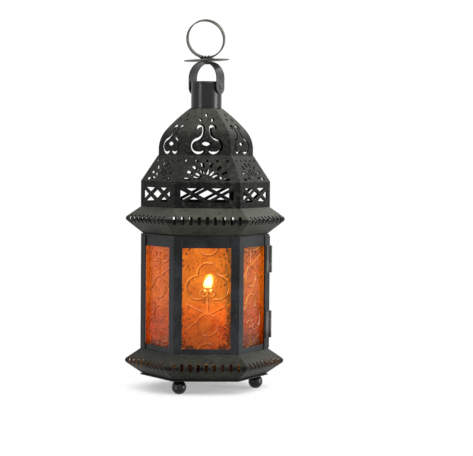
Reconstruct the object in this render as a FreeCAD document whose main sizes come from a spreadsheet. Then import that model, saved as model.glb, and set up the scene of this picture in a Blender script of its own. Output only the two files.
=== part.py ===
import FreeCAD, Part
import math
import os
import Sketcher

# Candle lantern: a six-sided tower of pierced sheet metal with amber pressed-glass panes.
# Millimetres and degrees. +Z is up and the origin is on the table under the lantern's axis.
# The plan is a hexagon with corners on +X and -X, and the front pane faces -Y.
# The door is the pane that faces back and to the right, hinged at the right-hand corner.

os.makedirs("parts", exist_ok=True)
doc = FreeCAD.newDocument("candle_lantern")

# Driving sizes. "flats" is the distance across two opposite sides of a hexagon.
SIZES = [
    # Sheet metal and small clearances
    ("sheet_gauge", 0.8),
    ("fit_clearance", 0.05),
    ("rest_clearance", 0.3),
    ("cut_overshoot", 2),
    # Ball feet and the plate they carry
    ("foot_diameter", 10.8),
    ("foot_height", 10.1),
    ("foot_circle_radius", 39),
    ("foot_first_angle", 0),
    ("stud_diameter", 2.4),
    ("stud_depth", 5),
    ("stud_head_diameter", 3.8),
    ("stud_head_height", 1.2),
    ("plate_flats", 84),
    # Flared skirt under the box and flared eave over it
    ("skirt_height", 19.1),
    ("skirt_rim_height", 10.1),
    ("eave_height", 20.5),
    ("eave_rim_height", 11.4),
    ("flare_foot_flats", 81),
    ("flare_rim_flats", 104),
    ("flare_top_flats", 84),
    ("flare_nose_radius", 2.4),
    ("flange_width", 4.6),
    ("slot_count", 9),
    ("slot_width", 2.4),
    ("slot_height", 6),
    ("slot_pitch", 5.95),
    # Glazed box
    ("box_flats", 84),
    ("box_height", 86.2),
    ("post_leg", 6.4),
    ("upper_rail_height", 8),
    ("lower_rail_height", 4),
    ("crown_hole_flats", 72),
    ("glass_thickness", 3),
    ("pane_corner_gap", 0.6),
    ("pane_top_gap", 1.5),
    ("clip_width", 6),
    ("clip_drop", 6),
    ("clip_spacing", 24),
    # Door
    ("door_window_width", 29),
    ("door_sill", 7.5),
    ("door_head", 11.5),
    ("door_pane_lap", 1.8),
    ("door_end_gap", 0.6),
    ("door_edge_gap", 0.6),
    # Hinges
    ("knuckle_diameter", 2),
    ("hinge_pin_diameter", 0.9),
    ("hinge_height", 20.4),
    ("hinge_leaf_width", 5.6),
    ("hinge_leaf_gauge", 0.6),
    ("hinge_joint_gap", 0.25),
    ("hinge_seat_gap", 0.1),
    ("lower_hinge_height", 18.7),
    ("upper_hinge_height", 68.1),
    # Turn button that holds the door
    ("latch_height", 43),
    ("latch_setback", 2.05),
    ("latch_width", 4.2),
    ("latch_arm", 6.4),
    ("latch_tip_radius", 2.5),
    ("latch_rivet_diameter", 2),
    ("latch_head_diameter", 3.8),
    ("latch_collar_diameter", 3.2),
    ("latch_head_height", 0.8),
    # Candle
    ("cup_floor_diameter", 42),
    ("cup_height", 9),
    ("cup_flare", 2),
    ("candle_diameter", 34),
    ("candle_height", 52.8),
    ("candle_lip", 1.4),
    ("pool_depth", 2),
    ("wick_diameter", 1.5),
    ("wick_length", 10),
    ("wick_depth", 10),
    # Gallery under the cupola
    ("band_flats", 84.4),
    ("band_height", 19.2),
    ("lattice_sill", 4.1),
    ("lattice_width", 39),
    ("lattice_height", 10.4),
    ("strap_width", 2.3),
    ("roof_height", 19.4),
    ("roof_top_flats", 62.2),
    ("fan_centre_height", 0.6),
    ("fan_stretch", 1.25),
    ("fan_step_angle", 24),
    ("fan_inner_count", 7),
    ("fan_inner_start", 4.2),
    ("fan_inner_end", 8.6),
    ("fan_inner_spread", 12),
    ("fan_outer_count", 8),
    ("fan_outer_start", 9.9),
    ("fan_outer_end", 13.5),
    ("fan_outer_spread", 9),
    ("fan_hole_count", 5),
    ("fan_hole_height", 15.3),
    ("fan_hole_pitch", 7.4),
    ("fan_hole_diameter", 2.1),
    # Cupola
    ("cupola_inset", 0.3),
    ("cupola_wall_height", 4.6),
    ("cupola_height", 35.4),
    ("cupola_top_flats", 20.8),
    ("cupola_hole_flats", 14),
    ("shoulder_radius", 24),
    ("dome_radius", 110),
    ("lyre_slot_width", 1.9),
    ("lyre_end_radius", 1),
    ("lyre_bulb_radius", 5.2),
    ("lyre_bulb_offset", 5.7),
    ("lyre_bulb_height", 6.9),
    ("lyre_turn_angle", 106),
    ("lyre_neck_radius", 6.4),
    ("lyre_stem", 2.2),
    ("lyre_curl_radius", 1.9),
    ("lyre_foot_angle", 315),
    ("lyre_curl_end_angle", 190),
    ("leaf_width", 7.8),
    ("leaf_radius", 5.6),
    ("leaf_height", 8.6),
    ("drop_length", 3.2),
    ("drop_radius", 1.8),
    ("drop_height", 30),
    ("drop_row_height", 26.3),
    ("drop_row_offset", 4.4),
    ("drop_row_lean", 35),
    # Neck and carrying bail
    ("neck_diameter", 23),
    ("neck_height", 20),
    ("neck_edge_radius", 1.2),
    ("rivet_drop", 3.7),
    ("bail_width", 10),
    ("bail_gauge", 1),
    ("bail_gap", 0.4),
    ("bail_rise", 6.1),
    ("bail_tail", 5.6),
    ("bail_tip_width", 3),
    ("bail_end_radius", 5.75),
    ("bail_yaw", -35),
    ("rivet_diameter", 2.4),
    ("rivet_head_diameter", 4.2),
    ("rivet_head_height", 1.1),
    # Rosette, petals, swivel pin and hanging ring
    ("rosette_diameter", 34),
    ("rosette_gauge", 0.5),
    ("rosette_gap", 0.5),
    ("rosette_tilt", -2.5),
    ("petal_count", 8),
    ("petal_diameter", 11.6),
    ("petal_floor_diameter", 6.4),
    ("petal_height", 1.3),
    ("petal_notch_width", 3.4),
    ("petal_gauge", 0.45),
    ("petal_gap", 0.2),
    ("pin_diameter", 2.4),
    ("pin_head_diameter", 4.2),
    ("pin_head_height", 0.9),
    ("pin_head_gap", 0.4),
    ("ring_diameter", 29),
    ("ring_width", 5),
    ("ring_gauge", 0.9),
    ("ring_seat_gap", 0.75),
    ("ring_yaw", -14),
    ("ring_lean", 14),
]

sheet = doc.addObject("Spreadsheet::Sheet", "size")
for row, (alias, amount) in enumerate(SIZES, start=1):
    sheet.set(f"A{row}", alias)
    sheet.set(f"B{row}", str(amount))
    sheet.setAlias(f"B{row}", alias)
doc.recompute()

GAUGE = "size.sheet_gauge"
OVERSHOOT = "size.cut_overshoot"
SIDES = 6

# Levels from the table upwards
PLATE_Z = "size.foot_height"
SKIRT_Z = f"({PLATE_Z} + {GAUGE})"
BOX_Z = f"({SKIRT_Z} + size.skirt_height)"
CROWN_Z = f"({BOX_Z} + size.box_height)"
EAVE_Z = f"({CROWN_Z} + {GAUGE})"
BAND_Z = f"({EAVE_Z} + size.eave_height)"
ROOF_Z = f"({BAND_Z} + size.band_height)"
CUPOLA_Z = f"({ROOF_Z} + size.roof_height)"
NECK_Z = f"({CUPOLA_Z} + size.cupola_height)"
CAP_Z = f"({NECK_Z} + size.neck_height)"
PIVOT_Z = f"({CAP_Z} - size.rivet_drop)"
ARCH_Z = f"({PIVOT_Z} + size.bail_rise)"

# Distances from the axis out to the box's sides, and along a side to its corner
BOX_SIDE = "(size.box_flats / 2)"
BOX_CORNER = "(size.box_flats / 2 * tan(30))"
RAIL_INNER = f"({BOX_SIDE} - 2 * {GAUGE})"

# Names of the corners and sides by the angle they face
CORNERS = {
    "right": 0,
    "back_right": 60,
    "back_left": 120,
    "left": 180,
    "front_left": 240,
    "front_right": 300,
}
FIXED_SIDES = {"back": 90, "back_left": 150, "front_left": 210, "front": 270, "front_right": 330}
DOOR_ANGLE = 30
HINGE_LEAF_ANGLE = -30


def value(expression):
    """Return the number that an expression gives with the sizes as they are."""
    amount = sheet.evalExpression(expression)
    return float(getattr(amount, "Value", amount))


def count(alias):
    """Return a whole-number size."""
    return int(round(value(f"size.{alias}")))


def plane_of(body, role):
    """Return one of the body's own origin planes or axes."""
    return next(feature for feature in body.Origin.OriginFeatures if feature.Role == role)


def new_body(name):
    """Start a sub-part."""
    body = doc.addObject("PartDesign::Body", name)
    body.Label = name
    return body


def sketch_on(body, role, offset=None):
    """Start a sketch on an origin plane, moved along the plane's normal by an expression."""
    sketch = body.newObject("Sketcher::SketchObject", f"{body.Name}_sketch")
    sketch.AttachmentSupport = [(plane_of(body, role), "")]
    sketch.MapMode = "FlatFace"
    if offset is not None:
        sketch.setExpression("AttachmentOffset.Base.z", offset)
    return sketch


def arc_between(start, end, radius, turn):
    """Return the shorter arc from start to end that turns left or right."""
    middle = (start + end) * 0.5
    chord = end - start
    rise = math.sqrt(max(radius ** 2 - (chord.Length / 2) ** 2, 0))
    to_left = FreeCAD.Vector(-chord.y, chord.x, 0) / chord.Length
    centre = middle + to_left * (rise if turn == "left" else -rise)
    first, last = (start, end) if turn == "left" else (end, start)
    circle = Part.Circle(centre, FreeCAD.Vector(0, 0, 1), radius)
    first_angle = math.atan2(first.y - centre.y, first.x - centre.x)
    last_angle = math.atan2(last.y - centre.y, last.x - centre.x)
    return Part.ArcOfCircle(circle, first_angle, last_angle)


def draw(sketch, corners, arcs=None, closed=True):
    """Draw an outline through corners given as pairs of expressions.

    arcs maps the number of a corner to the radius and turn of the arc that leaves it.
    """
    arcs = arcs or {}
    points = [FreeCAD.Vector(value(x), value(y), 0) for x, y in corners]
    first = sketch.GeometryCount
    total = len(points) if closed else len(points) - 1
    ends = []
    for number in range(total):
        start = points[number]
        end = points[(number + 1) % len(points)]
        if number in arcs:
            radius, turn = arcs[number]
            sketch.addGeometry(arc_between(start, end, value(radius), turn))
            ends.append((1, 2) if turn == "left" else (2, 1))
        else:
            sketch.addGeometry(Part.LineSegment(start, end))
            ends.append((1, 2))
    rules = []
    bindings = []
    for number in range(total):
        piece = first + number
        start_end, far_end = ends[number]
        x, y = corners[number]
        bindings.append((len(rules), x))
        rules.append(Sketcher.Constraint("DistanceX", piece, start_end, points[number].x))
        bindings.append((len(rules), y))
        rules.append(Sketcher.Constraint("DistanceY", piece, start_end, points[number].y))
        if number in arcs:
            bindings.append((len(rules), arcs[number][0]))
            rules.append(Sketcher.Constraint("Radius", piece, value(arcs[number][0])))
        if closed or number < total - 1:
            following = (number + 1) % total
            near_end = ends[following][0]
            rules.append(Sketcher.Constraint("Coincident", piece, far_end, first + following, near_end))
    if not closed:
        x, y = corners[-1]
        bindings.append((len(rules), x))
        rules.append(Sketcher.Constraint("DistanceX", first + total - 1, ends[-1][1], points[-1].x))
        bindings.append((len(rules), y))
        rules.append(Sketcher.Constraint("DistanceY", first + total - 1, ends[-1][1], points[-1].y))
    base = sketch.ConstraintCount
    sketch.addConstraint(rules)
    for number, expression in bindings:
        sketch.setExpression(f"Constraints[{base + number}]", expression)


def draw_circle(sketch, x, y, radius):
    """Draw a circle whose centre and radius are expressions."""
    centre = FreeCAD.Vector(value(x), value(y), 0)
    piece = sketch.GeometryCount
    base = sketch.ConstraintCount
    sketch.addGeometry(Part.Circle(centre, FreeCAD.Vector(0, 0, 1), value(radius)))
    sketch.addConstraint([
        Sketcher.Constraint("DistanceX", piece, 3, centre.x),
        Sketcher.Constraint("DistanceY", piece, 3, centre.y),
        Sketcher.Constraint("Radius", piece, value(radius)),
    ])
    for number, expression in enumerate((x, y, radius)):
        sketch.setExpression(f"Constraints[{base + number}]", expression)


def rectangle(left, bottom, right, top):
    """Return the corners of an upright rectangle."""
    return [(left, bottom), (right, bottom), (right, top), (left, top)]


def hexagon(side):
    """Return the corners of a hexagon from the distance out to its sides."""
    corner = f"({side}) / cos(30)"
    return [(f"{corner} * cos({60 * step})", f"{corner} * sin({60 * step})") for step in range(SIDES)]


def pad(body, sketch, length, symmetric=False):
    """Add the sketch's area along its normal."""
    feature = body.newObject("PartDesign::Pad", f"{body.Name}_pad")
    feature.Profile = sketch
    feature.setExpression("Length", length)
    if symmetric:
        feature.SideType = "Symmetric"
    body.Tip = feature
    return feature


def pocket(body, sketch, length, symmetric=False):
    """Cut the sketch's area against its normal."""
    feature = body.newObject("PartDesign::Pocket", f"{body.Name}_pocket")
    feature.Profile = sketch
    feature.setExpression("Length", length)
    if symmetric:
        feature.SideType = "Symmetric"
    body.Tip = feature
    return feature


def revolve(body, sketch, role="Z_Axis"):
    """Spin the sketch's area right round an axis of the body."""
    feature = body.newObject("PartDesign::Revolution", f"{body.Name}_revolution")
    feature.Profile = sketch
    feature.ReferenceAxis = (plane_of(body, role), [""])
    feature.Angle = 360
    body.Tip = feature
    return feature


def polar(body, feature, copies, angle=360):
    """Repeat a feature about the body's Z axis."""
    pattern = body.newObject("PartDesign::PolarPattern", f"{body.Name}_polar")
    pattern.Originals = [feature]
    pattern.Axis = (plane_of(body, "Z_Axis"), [""])
    pattern.Angle = angle
    pattern.Occurrences = copies
    body.Tip = pattern
    return pattern


def fold_round(body, section, arcs, path_side):
    """Sweep a sheet section round a hexagon with mitred corners, as folded and seamed sheet."""
    path = sketch_on(body, "XY_Plane")
    corner = f"({path_side}) / cos(30)"
    route = [("0", path_side)]
    for step in range(SIDES):
        angle = 120 + 60 * step
        route.append((f"{corner} * cos({angle})", f"{corner} * sin({angle})"))
    route.append(("0", path_side))
    draw(path, route, closed=False)
    profile = sketch_on(body, "YZ_Plane")
    draw(profile, section, arcs)
    pipe = body.newObject("PartDesign::AdditivePipe", f"{body.Name}_pipe")
    pipe.Profile = profile
    pipe.Spine = path
    pipe.Transition = "Right corner"
    body.Tip = pipe
    return pipe


def pierce(body, loops, circles, reach):
    """Cut openings drawn on the front elevation, then repeat them on every side.

    The cut runs from outside the front wall inwards and stops short of the axis.
    """
    sketch = sketch_on(body, "XZ_Plane", f"{reach} + {OVERSHOOT}")
    for corners, arcs in loops:
        draw(sketch, corners, arcs)
    for x, y, radius in circles:
        draw_circle(sketch, x, y, radius)
    feature = pocket(body, sketch, f"{reach} - {OVERSHOOT}")
    return polar(body, feature, SIDES)


def turn_about_axis(piece, angle, out="0", along="0", up="0"):
    """Place a piece drawn in a side's own frame: out from the axis, along the side, and up."""
    turn = FreeCAD.Rotation(FreeCAD.Vector(0, 0, 1), value(f"0 + {angle}"))
    piece.Placement = FreeCAD.Placement(FreeCAD.Vector(), turn)
    piece.setExpression("Placement.Rotation.Angle", f"0 + {angle}")
    piece.setExpression("Placement.Base.x", f"({out}) * cos({angle}) - ({along}) * sin({angle})")
    piece.setExpression("Placement.Base.y", f"({out}) * sin({angle}) + ({along}) * cos({angle})")
    piece.setExpression("Placement.Base.z", up)


def block(name, length, width, height):
    """Return a plain block with a corner at its own origin."""
    piece = doc.addObject("Part::Box", name)
    piece.Label = name
    piece.setExpression("Length", length)
    piece.setExpression("Width", width)
    piece.setExpression("Height", height)
    return piece


def rod(name, radius, height):
    """Return an upright cylinder standing on its own origin."""
    piece = doc.addObject("Part::Cylinder", name)
    piece.Label = name
    piece.setExpression("Radius", radius)
    piece.setExpression("Height", height)
    return piece


def shift(piece, x="0", y="0", z="0"):
    """Move a piece by three expressions."""
    piece.setExpression("Placement.Base.x", x)
    piece.setExpression("Placement.Base.y", y)
    piece.setExpression("Placement.Base.z", z)
    return piece


def fuse(name, pieces):
    """Join pieces into one solid."""
    joined = doc.addObject("Part::MultiFuse", name)
    joined.Shapes = pieces
    joined.Refine = True
    joined.Label = name
    return joined


def cut(name, base, tool):
    """Take one piece out of another."""
    remainder = doc.addObject("Part::Cut", name)
    remainder.Base = base
    remainder.Tool = tool
    remainder.Refine = True
    remainder.Label = name
    return remainder


def group(name, pieces):
    """Gather separate like solids under one name."""
    gathered = doc.addObject("Part::Compound", name)
    gathered.Links = pieces
    gathered.Label = name
    return gathered


def dome_radius(base_radius, height):
    """Return the radius of a shallow dome over a round base."""
    return f"((({base_radius}) ^ 2 + ({height}) ^ 2) / (2 * ({height})))"


# Ball feet, their studs and the base plate
def foot_place(piece, step, up):
    angle = f"(size.foot_first_angle + {120 * step})"
    turn_about_axis(piece, angle, "size.foot_circle_radius", "0", up)


def ball_foot(name, step):
    body = new_body(name)
    sketch = sketch_on(body, "XZ_Plane")
    flat = "sqrt((size.foot_diameter / 2) ^ 2 - (size.foot_height / 2) ^ 2)"
    bore = "size.stud_diameter / 2 + size.fit_clearance"
    bore_floor = "size.foot_height - size.stud_depth - size.fit_clearance"
    corners = [("0", "0"), (flat, "0"), (flat, "size.foot_height"), (bore, "size.foot_height"),
               (bore, bore_floor), ("0", bore_floor)]
    draw(sketch, corners, {1: ("size.foot_diameter / 2", "left")})
    revolve(body, sketch)
    foot_place(body, step, "0")
    return body


def foot_stud(step):
    body = new_body(f"foot_stud_{step + 1}")
    sketch = sketch_on(body, "XZ_Plane")
    head = "size.stud_head_diameter / 2"
    shank = "size.stud_diameter / 2"
    corners = [("0", f"-{GAUGE} - size.stud_depth"), (shank, f"-{GAUGE} - size.stud_depth"), (shank, "0"),
               (head, "0"), ("0", "size.stud_head_height")]
    draw(sketch, corners, {3: (dome_radius(head, "size.stud_head_height"), "left")})
    revolve(body, sketch)
    foot_place(body, step, SKIRT_Z)
    return body


def base_plate():
    body = new_body("base_plate")
    sketch = sketch_on(body, "XY_Plane", PLATE_Z)
    draw(sketch, hexagon("size.plate_flats / 2"))
    for step in range(3):
        angle = f"(size.foot_first_angle + {120 * step})"
        x = f"size.foot_circle_radius * cos({angle})"
        y = f"size.foot_circle_radius * sin({angle})"
        draw_circle(sketch, x, y, "size.stud_diameter / 2 + size.fit_clearance")
    pad(body, sketch, GAUGE)
    return body


# Flared skirt and eave, folded out to a rounded rim and back, with a flange turned in at each end
def flare(name, foot_z, height, rim_height):
    body = new_body(name)
    foot = "size.flare_foot_flats / 2"
    top = "size.flare_top_flats / 2"
    nose = "size.flare_nose_radius"
    top_z = f"({foot_z} + {height})"
    centre_x = f"(size.flare_rim_flats / 2 - {nose})"
    centre_z = f"({foot_z} + {rim_height})"

    def slope(x, z, side):
        run = f"({centre_x} - {x})"
        rise = f"({centre_z} - {z})"
        return f"(atan2({rise}; {run}) {side} asin({nose} / hypot({run}; {rise})))"

    low = slope(foot, foot_z, "-")
    high = slope(top, top_z, "+")

    def touch_low(radius):
        return f"({centre_x} + ({radius}) * sin({low}))", f"({centre_z} - ({radius}) * cos({low}))"

    def touch_high(radius):
        return f"({centre_x} - ({radius}) * sin({high}))", f"({centre_z} + ({radius}) * cos({high}))"

    inner = f"({nose} - {GAUGE})"
    low_inner = touch_low(inner)
    high_inner = touch_high(inner)
    foot_inner = f"{low_inner[0]} - ({low_inner[1]} - {foot_z} - {GAUGE}) / tan({low})"
    top_inner = f"{high_inner[0]} + ({top_z} - {GAUGE} - {high_inner[1]}) / tan({high})"
    section = [
        (foot, foot_z), touch_low(nose), touch_high(nose), (top, top_z),
        (f"{top} - size.flange_width", top_z), (f"{top} - size.flange_width", f"{top_z} - {GAUGE}"),
        (top_inner, f"{top_z} - {GAUGE}"), high_inner, low_inner, (foot_inner, f"{foot_z} + {GAUGE}"),
        (f"{foot} - size.flange_width", f"{foot_z} + {GAUGE}"), (f"{foot} - size.flange_width", foot_z),
    ]
    fold_round(body, section, {1: (nose, "left"), 7: (inner, "right")}, foot)
    half_slot = "size.slot_height / 2"
    slots = []
    for number in range(count("slot_count")):
        middle = f"(({number} - (size.slot_count - 1) / 2) * size.slot_pitch)"
        left = f"{middle} - size.slot_width / 2"
        right = f"{middle} + size.slot_width / 2"
        slots.append((rectangle(left, f"{centre_z} - {half_slot}", right, f"{centre_z} + {half_slot}"), None))
    pierce(body, slots, [], "size.flare_rim_flats / 2")
    return body


# Glazed box
def corner_post(name, angle):
    body = new_body(f"post_{name}")
    sketch = sketch_on(body, "XY_Plane", BOX_Z)
    corner = f"({BOX_SIDE} / cos(30))"
    inner = f"(({BOX_SIDE} - {GAUGE}) / cos(30))"
    leg_x = f"{corner} - size.post_leg * sin(30)"
    leg_y = "size.post_leg * cos(30)"
    tip_x = f"{leg_x} - {GAUGE} * cos(30)"
    tip_y = f"({leg_y} - {GAUGE} * sin(30))"
    corners = [(corner, "0"), (leg_x, leg_y), (tip_x, tip_y), (inner, "0"), (tip_x, f"-{tip_y}"),
               (leg_x, f"-{leg_y}")]
    draw(sketch, corners)
    pad(body, sketch, "size.box_height")
    if name == "back_right":
        drill_for_latch(body)
    turn_about_axis(body, angle)
    return body


def drill_for_latch(body):
    """Drill the latch rivet's hole through the leg on the door's side of the corner.

    The sketch lies square to that leg, which is turned back from the corner by half a side.
    """
    leg_turn = DOOR_ANGLE - CORNERS["back_right"]
    stand_off = f"({BOX_SIDE} + {OVERSHOOT})"
    hole = sketch_on(body, "YZ_Plane")
    spin = FreeCAD.Rotation(FreeCAD.Vector(0, 1, 0), leg_turn)
    hole.AttachmentOffset = FreeCAD.Placement(FreeCAD.Vector(), spin)
    hole.setExpression("AttachmentOffset.Base.x", f"{stand_off} * sin({leg_turn})")
    hole.setExpression("AttachmentOffset.Base.z", f"{stand_off} * cos({leg_turn})")
    draw_circle(hole, LATCH_ALONG, LATCH_Z, "size.latch_rivet_diameter / 2 + size.fit_clearance")
    pocket(body, hole, f"2 * {OVERSHOOT} + {GAUGE}")


def rail(name, foot_z, height):
    body = new_body(name)
    outer = f"({BOX_SIDE} - {GAUGE})"
    section = rectangle(RAIL_INNER, foot_z, outer, f"{foot_z} + {height}")
    fold_round(body, section, None, outer)
    return body


def crown_plate():
    body = new_body("crown_plate")
    sketch = sketch_on(body, "XY_Plane", CROWN_Z)
    draw(sketch, hexagon(BOX_SIDE))
    draw(sketch, hexagon("size.crown_hole_flats / 2"))
    pad(body, sketch, GAUGE)
    return body


PANE_INNER = f"({RAIL_INNER} - size.glass_thickness)"
PANE_HALF = f"({PANE_INNER} * tan(30) - size.pane_corner_gap)"
PANE_TOP_Z = f"({CROWN_Z} - size.pane_top_gap)"


def glass_pane(name, angle):
    pane = block(f"glass_{name}", "size.glass_thickness", f"2 * {PANE_HALF}", f"{PANE_TOP_Z} - {BOX_Z}")
    turn_about_axis(pane, angle, PANE_INNER, f"-{PANE_HALF}", BOX_Z)
    return pane


def bent_clip(name, lift):
    """Return an angle tab: a bridge over the pane's edge and a tab down or up its inner face."""
    bridge = block(f"{name}_bridge", f"size.glass_thickness + {GAUGE}", "size.clip_width", GAUGE)
    tab = block(f"{name}_tab", GAUGE, "size.clip_width", f"size.clip_drop + {GAUGE}")
    shift(tab, z=lift)
    return fuse(name, [bridge, tab])


def glass_clips():
    """Bent tabs that hold the fixed panes against the rails, two at the head and two at the sill."""
    pieces = []
    for name, angle in FIXED_SIDES.items():
        for number, side in enumerate(("-", "")):
            along = f"{side}size.clip_spacing / 2 - size.clip_width / 2"
            head = bent_clip(f"clip_head_{name}_{number}", "-size.clip_drop")
            turn_about_axis(head, angle, f"{PANE_INNER} - {GAUGE}", along, PANE_TOP_Z)
            sill = block(f"clip_sill_{name}_{number}", GAUGE, "size.clip_width", "size.clip_drop")
            turn_about_axis(sill, angle, f"{PANE_INNER} - {GAUGE}", along, BOX_Z)
            pieces += [head, sill]
    return group("glass_clips", pieces)


# Door, hinges and latch, drawn in the door side's own frame: x out, y along, z up
LATCH_ALONG = f"({BOX_CORNER} - size.latch_setback)"
LATCH_Z = f"({BOX_Z} + size.latch_height)"
HINGE_OUT = f"({BOX_SIDE} + size.knuckle_diameter / 2 + size.hinge_seat_gap)"
HINGE_X = f"({HINGE_OUT} / cos(30))"
HINGE_ALONG = f"(-{HINGE_OUT} * tan(30))"
DOOR_INNER = f"({BOX_SIDE} + size.rest_clearance)"
DOOR_OUTER = f"({DOOR_INNER} + {GAUGE})"
DOOR_NEAR = f"({HINGE_ALONG} + size.knuckle_diameter / 2 + size.rest_clearance)"
DOOR_FAR = f"({LATCH_ALONG} - size.latch_width / 2 - size.door_edge_gap)"
WINDOW_HALF = "(size.door_window_width / 2)"
WINDOW_FOOT = f"({BOX_Z} + size.door_sill)"
WINDOW_TOP = f"({CROWN_Z} - size.door_head)"


def door_frame():
    body = new_body("door_frame")
    sketch = sketch_on(body, "YZ_Plane", DOOR_INNER)
    foot_z = f"{BOX_Z} + size.door_end_gap"
    head_z = f"{CROWN_Z} - size.door_end_gap"
    draw(sketch, rectangle(DOOR_NEAR, foot_z, DOOR_FAR, head_z))
    draw(sketch, rectangle(f"-{WINDOW_HALF}", WINDOW_FOOT, WINDOW_HALF, WINDOW_TOP))
    pad(body, sketch, GAUGE)
    turn_about_axis(body, DOOR_ANGLE)
    return body


DOOR_PANE_INNER = f"({DOOR_INNER} - size.glass_thickness)"
DOOR_PANE_HALF = f"({WINDOW_HALF} + size.door_pane_lap)"
DOOR_PANE_FOOT = f"({WINDOW_FOOT} - size.door_pane_lap)"
DOOR_PANE_TOP = f"({WINDOW_TOP} + size.door_pane_lap)"


def door_glass():
    height = f"{DOOR_PANE_TOP} - {DOOR_PANE_FOOT}"
    pane = block("door_glass", "size.glass_thickness", f"2 * {DOOR_PANE_HALF}", height)
    turn_about_axis(pane, DOOR_ANGLE, DOOR_PANE_INNER, f"-{DOOR_PANE_HALF}", DOOR_PANE_FOOT)
    return pane


def door_glass_clips():
    """Bent tabs on the door frame that hold its pane, two above and two below."""
    pieces = []
    for number, side in enumerate(("-", "")):
        along = f"{side}{WINDOW_HALF} / 2 - size.clip_width / 2"
        head = bent_clip(f"door_clip_head_{number}", "-size.clip_drop")
        turn_about_axis(head, DOOR_ANGLE, f"{DOOR_PANE_INNER} - {GAUGE}", along, DOOR_PANE_TOP)
        sill = bent_clip(f"door_clip_sill_{number}", "0")
        sill_z = f"{DOOR_PANE_FOOT} - {GAUGE}"
        turn_about_axis(sill, DOOR_ANGLE, f"{DOOR_PANE_INNER} - {GAUGE}", along, sill_z)
        pieces += [head, sill]
    return group("door_glass_clips", pieces)


KNUCKLE_LENGTH = "((size.hinge_height - 2 * size.hinge_joint_gap) / 3)"
KNUCKLE_STEP = f"({KNUCKLE_LENGTH} + size.hinge_joint_gap)"
TONGUE = "(size.knuckle_diameter / 2 + size.rest_clearance)"


def hinge_leaf(name, plate_out, side, knuckles, height):
    """Return a leaf whose origin is the foot of its pin; side is 1 or -1 along the lantern's side."""
    plate_width = f"size.hinge_leaf_width - {TONGUE}"
    plate = block(f"{name}_plate", "size.hinge_leaf_gauge", plate_width, "size.hinge_height")
    pieces = [shift(plate, plate_out, TONGUE if side > 0 else "-size.hinge_leaf_width")]
    for number in knuckles:
        level = f"{number} * {KNUCKLE_STEP}"
        tongue = block(f"{name}_tongue_{number}", "size.hinge_leaf_gauge", TONGUE, KNUCKLE_LENGTH)
        pieces.append(shift(tongue, plate_out, "0" if side > 0 else f"-{TONGUE}", level))
        knuckle = rod(f"{name}_knuckle_{number}", "size.knuckle_diameter / 2", KNUCKLE_LENGTH)
        pieces.append(shift(knuckle, z=level))
    bore_radius = "size.hinge_pin_diameter / 2 + size.fit_clearance"
    bore = rod(f"{name}_bore", bore_radius, f"size.hinge_height + 2 * {OVERSHOOT}")
    leaf = cut(name, fuse(f"{name}_blank", pieces), shift(bore, z=f"-{OVERSHOOT}"))
    angle = DOOR_ANGLE if side > 0 else HINGE_LEAF_ANGLE
    leaf.Placement = FreeCAD.Placement(FreeCAD.Vector(), FreeCAD.Rotation(FreeCAD.Vector(0, 0, 1), angle))
    shift(leaf, HINGE_X, "0", f"{BOX_Z} + {height} - size.hinge_height / 2")
    return leaf


def hinge_pins():
    pins = []
    for name in ("lower", "upper"):
        pin = rod(f"hinge_pin_{name}", "size.hinge_pin_diameter / 2", "size.hinge_height")
        pins.append(shift(pin, HINGE_X, "0", f"{BOX_Z} + size.{name}_hinge_height - size.hinge_height / 2"))
    return group("hinge_pins", pins)


BUTTON_INNER = f"({DOOR_OUTER} + size.rest_clearance)"
BUTTON_OUTER = f"({BUTTON_INNER} + {GAUGE})"


def latch_button():
    body = new_body("latch_button")
    sketch = sketch_on(body, "YZ_Plane", BUTTON_INNER)
    half = "size.latch_width / 2"
    corners = [(f"-{half}", "0"), (f"-{half}", "-size.latch_arm"), (half, "-size.latch_arm"), (half, "0"),
               ("0", half)]
    draw(sketch, corners, {1: ("size.latch_tip_radius", "left"), 3: (half, "left"), 4: (half, "left")})
    draw_circle(sketch, "0", "0", "size.latch_rivet_diameter / 2 + size.fit_clearance")
    pad(body, sketch, GAUGE)
    turn_about_axis(body, DOOR_ANGLE, "0", LATCH_ALONG, LATCH_Z)
    return body


def latch_rivet():
    """Shouldered rivet: tail inside the post, collar outside it, and a head over the button."""
    body = new_body("latch_rivet")
    sketch = sketch_on(body, "XY_Plane")
    shank = "size.latch_rivet_diameter / 2"
    head = "size.latch_head_diameter / 2"
    collar = "size.latch_collar_diameter / 2"
    leg_inner = f"({BOX_SIDE} - {GAUGE})"
    tail_end = f"({leg_inner} - size.latch_head_height)"
    collar_end = f"({BUTTON_INNER} - 2 * size.fit_clearance)"
    head_start = f"({BUTTON_OUTER} + 2 * size.fit_clearance)"
    head_end = f"({head_start} + size.latch_head_height)"
    corners = [
        (tail_end, "0"), (head_end, "0"), (head_end, shank), (head_start, head), (head_start, shank),
        (collar_end, shank), (collar_end, collar), (BOX_SIDE, collar), (BOX_SIDE, shank),
        (leg_inner, shank), (leg_inner, collar), (tail_end, collar),
    ]
    draw(sketch, corners)
    revolve(body, sketch, "X_Axis")
    turn_about_axis(body, DOOR_ANGLE, "0", LATCH_ALONG, LATCH_Z)
    return body


# Candle and the cup it stands in
WAX_Z = f"({SKIRT_Z} + {GAUGE})"
WAX_TOP_Z = f"({WAX_Z} + size.candle_height)"
POOL_Z = f"({WAX_TOP_Z} - size.pool_depth)"


def candle_cup():
    body = new_body("candle_cup")
    sketch = sketch_on(body, "XZ_Plane")
    floor = "size.cup_floor_diameter / 2"
    lip_z = f"{SKIRT_Z} + size.cup_height"
    corners = [("0", SKIRT_Z), (floor, SKIRT_Z), (f"{floor} + size.cup_flare", lip_z),
               (f"{floor} + size.cup_flare - {GAUGE}", lip_z), (f"{floor} - {GAUGE}", WAX_Z), ("0", WAX_Z)]
    draw(sketch, corners)
    revolve(body, sketch)
    return body


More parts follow.
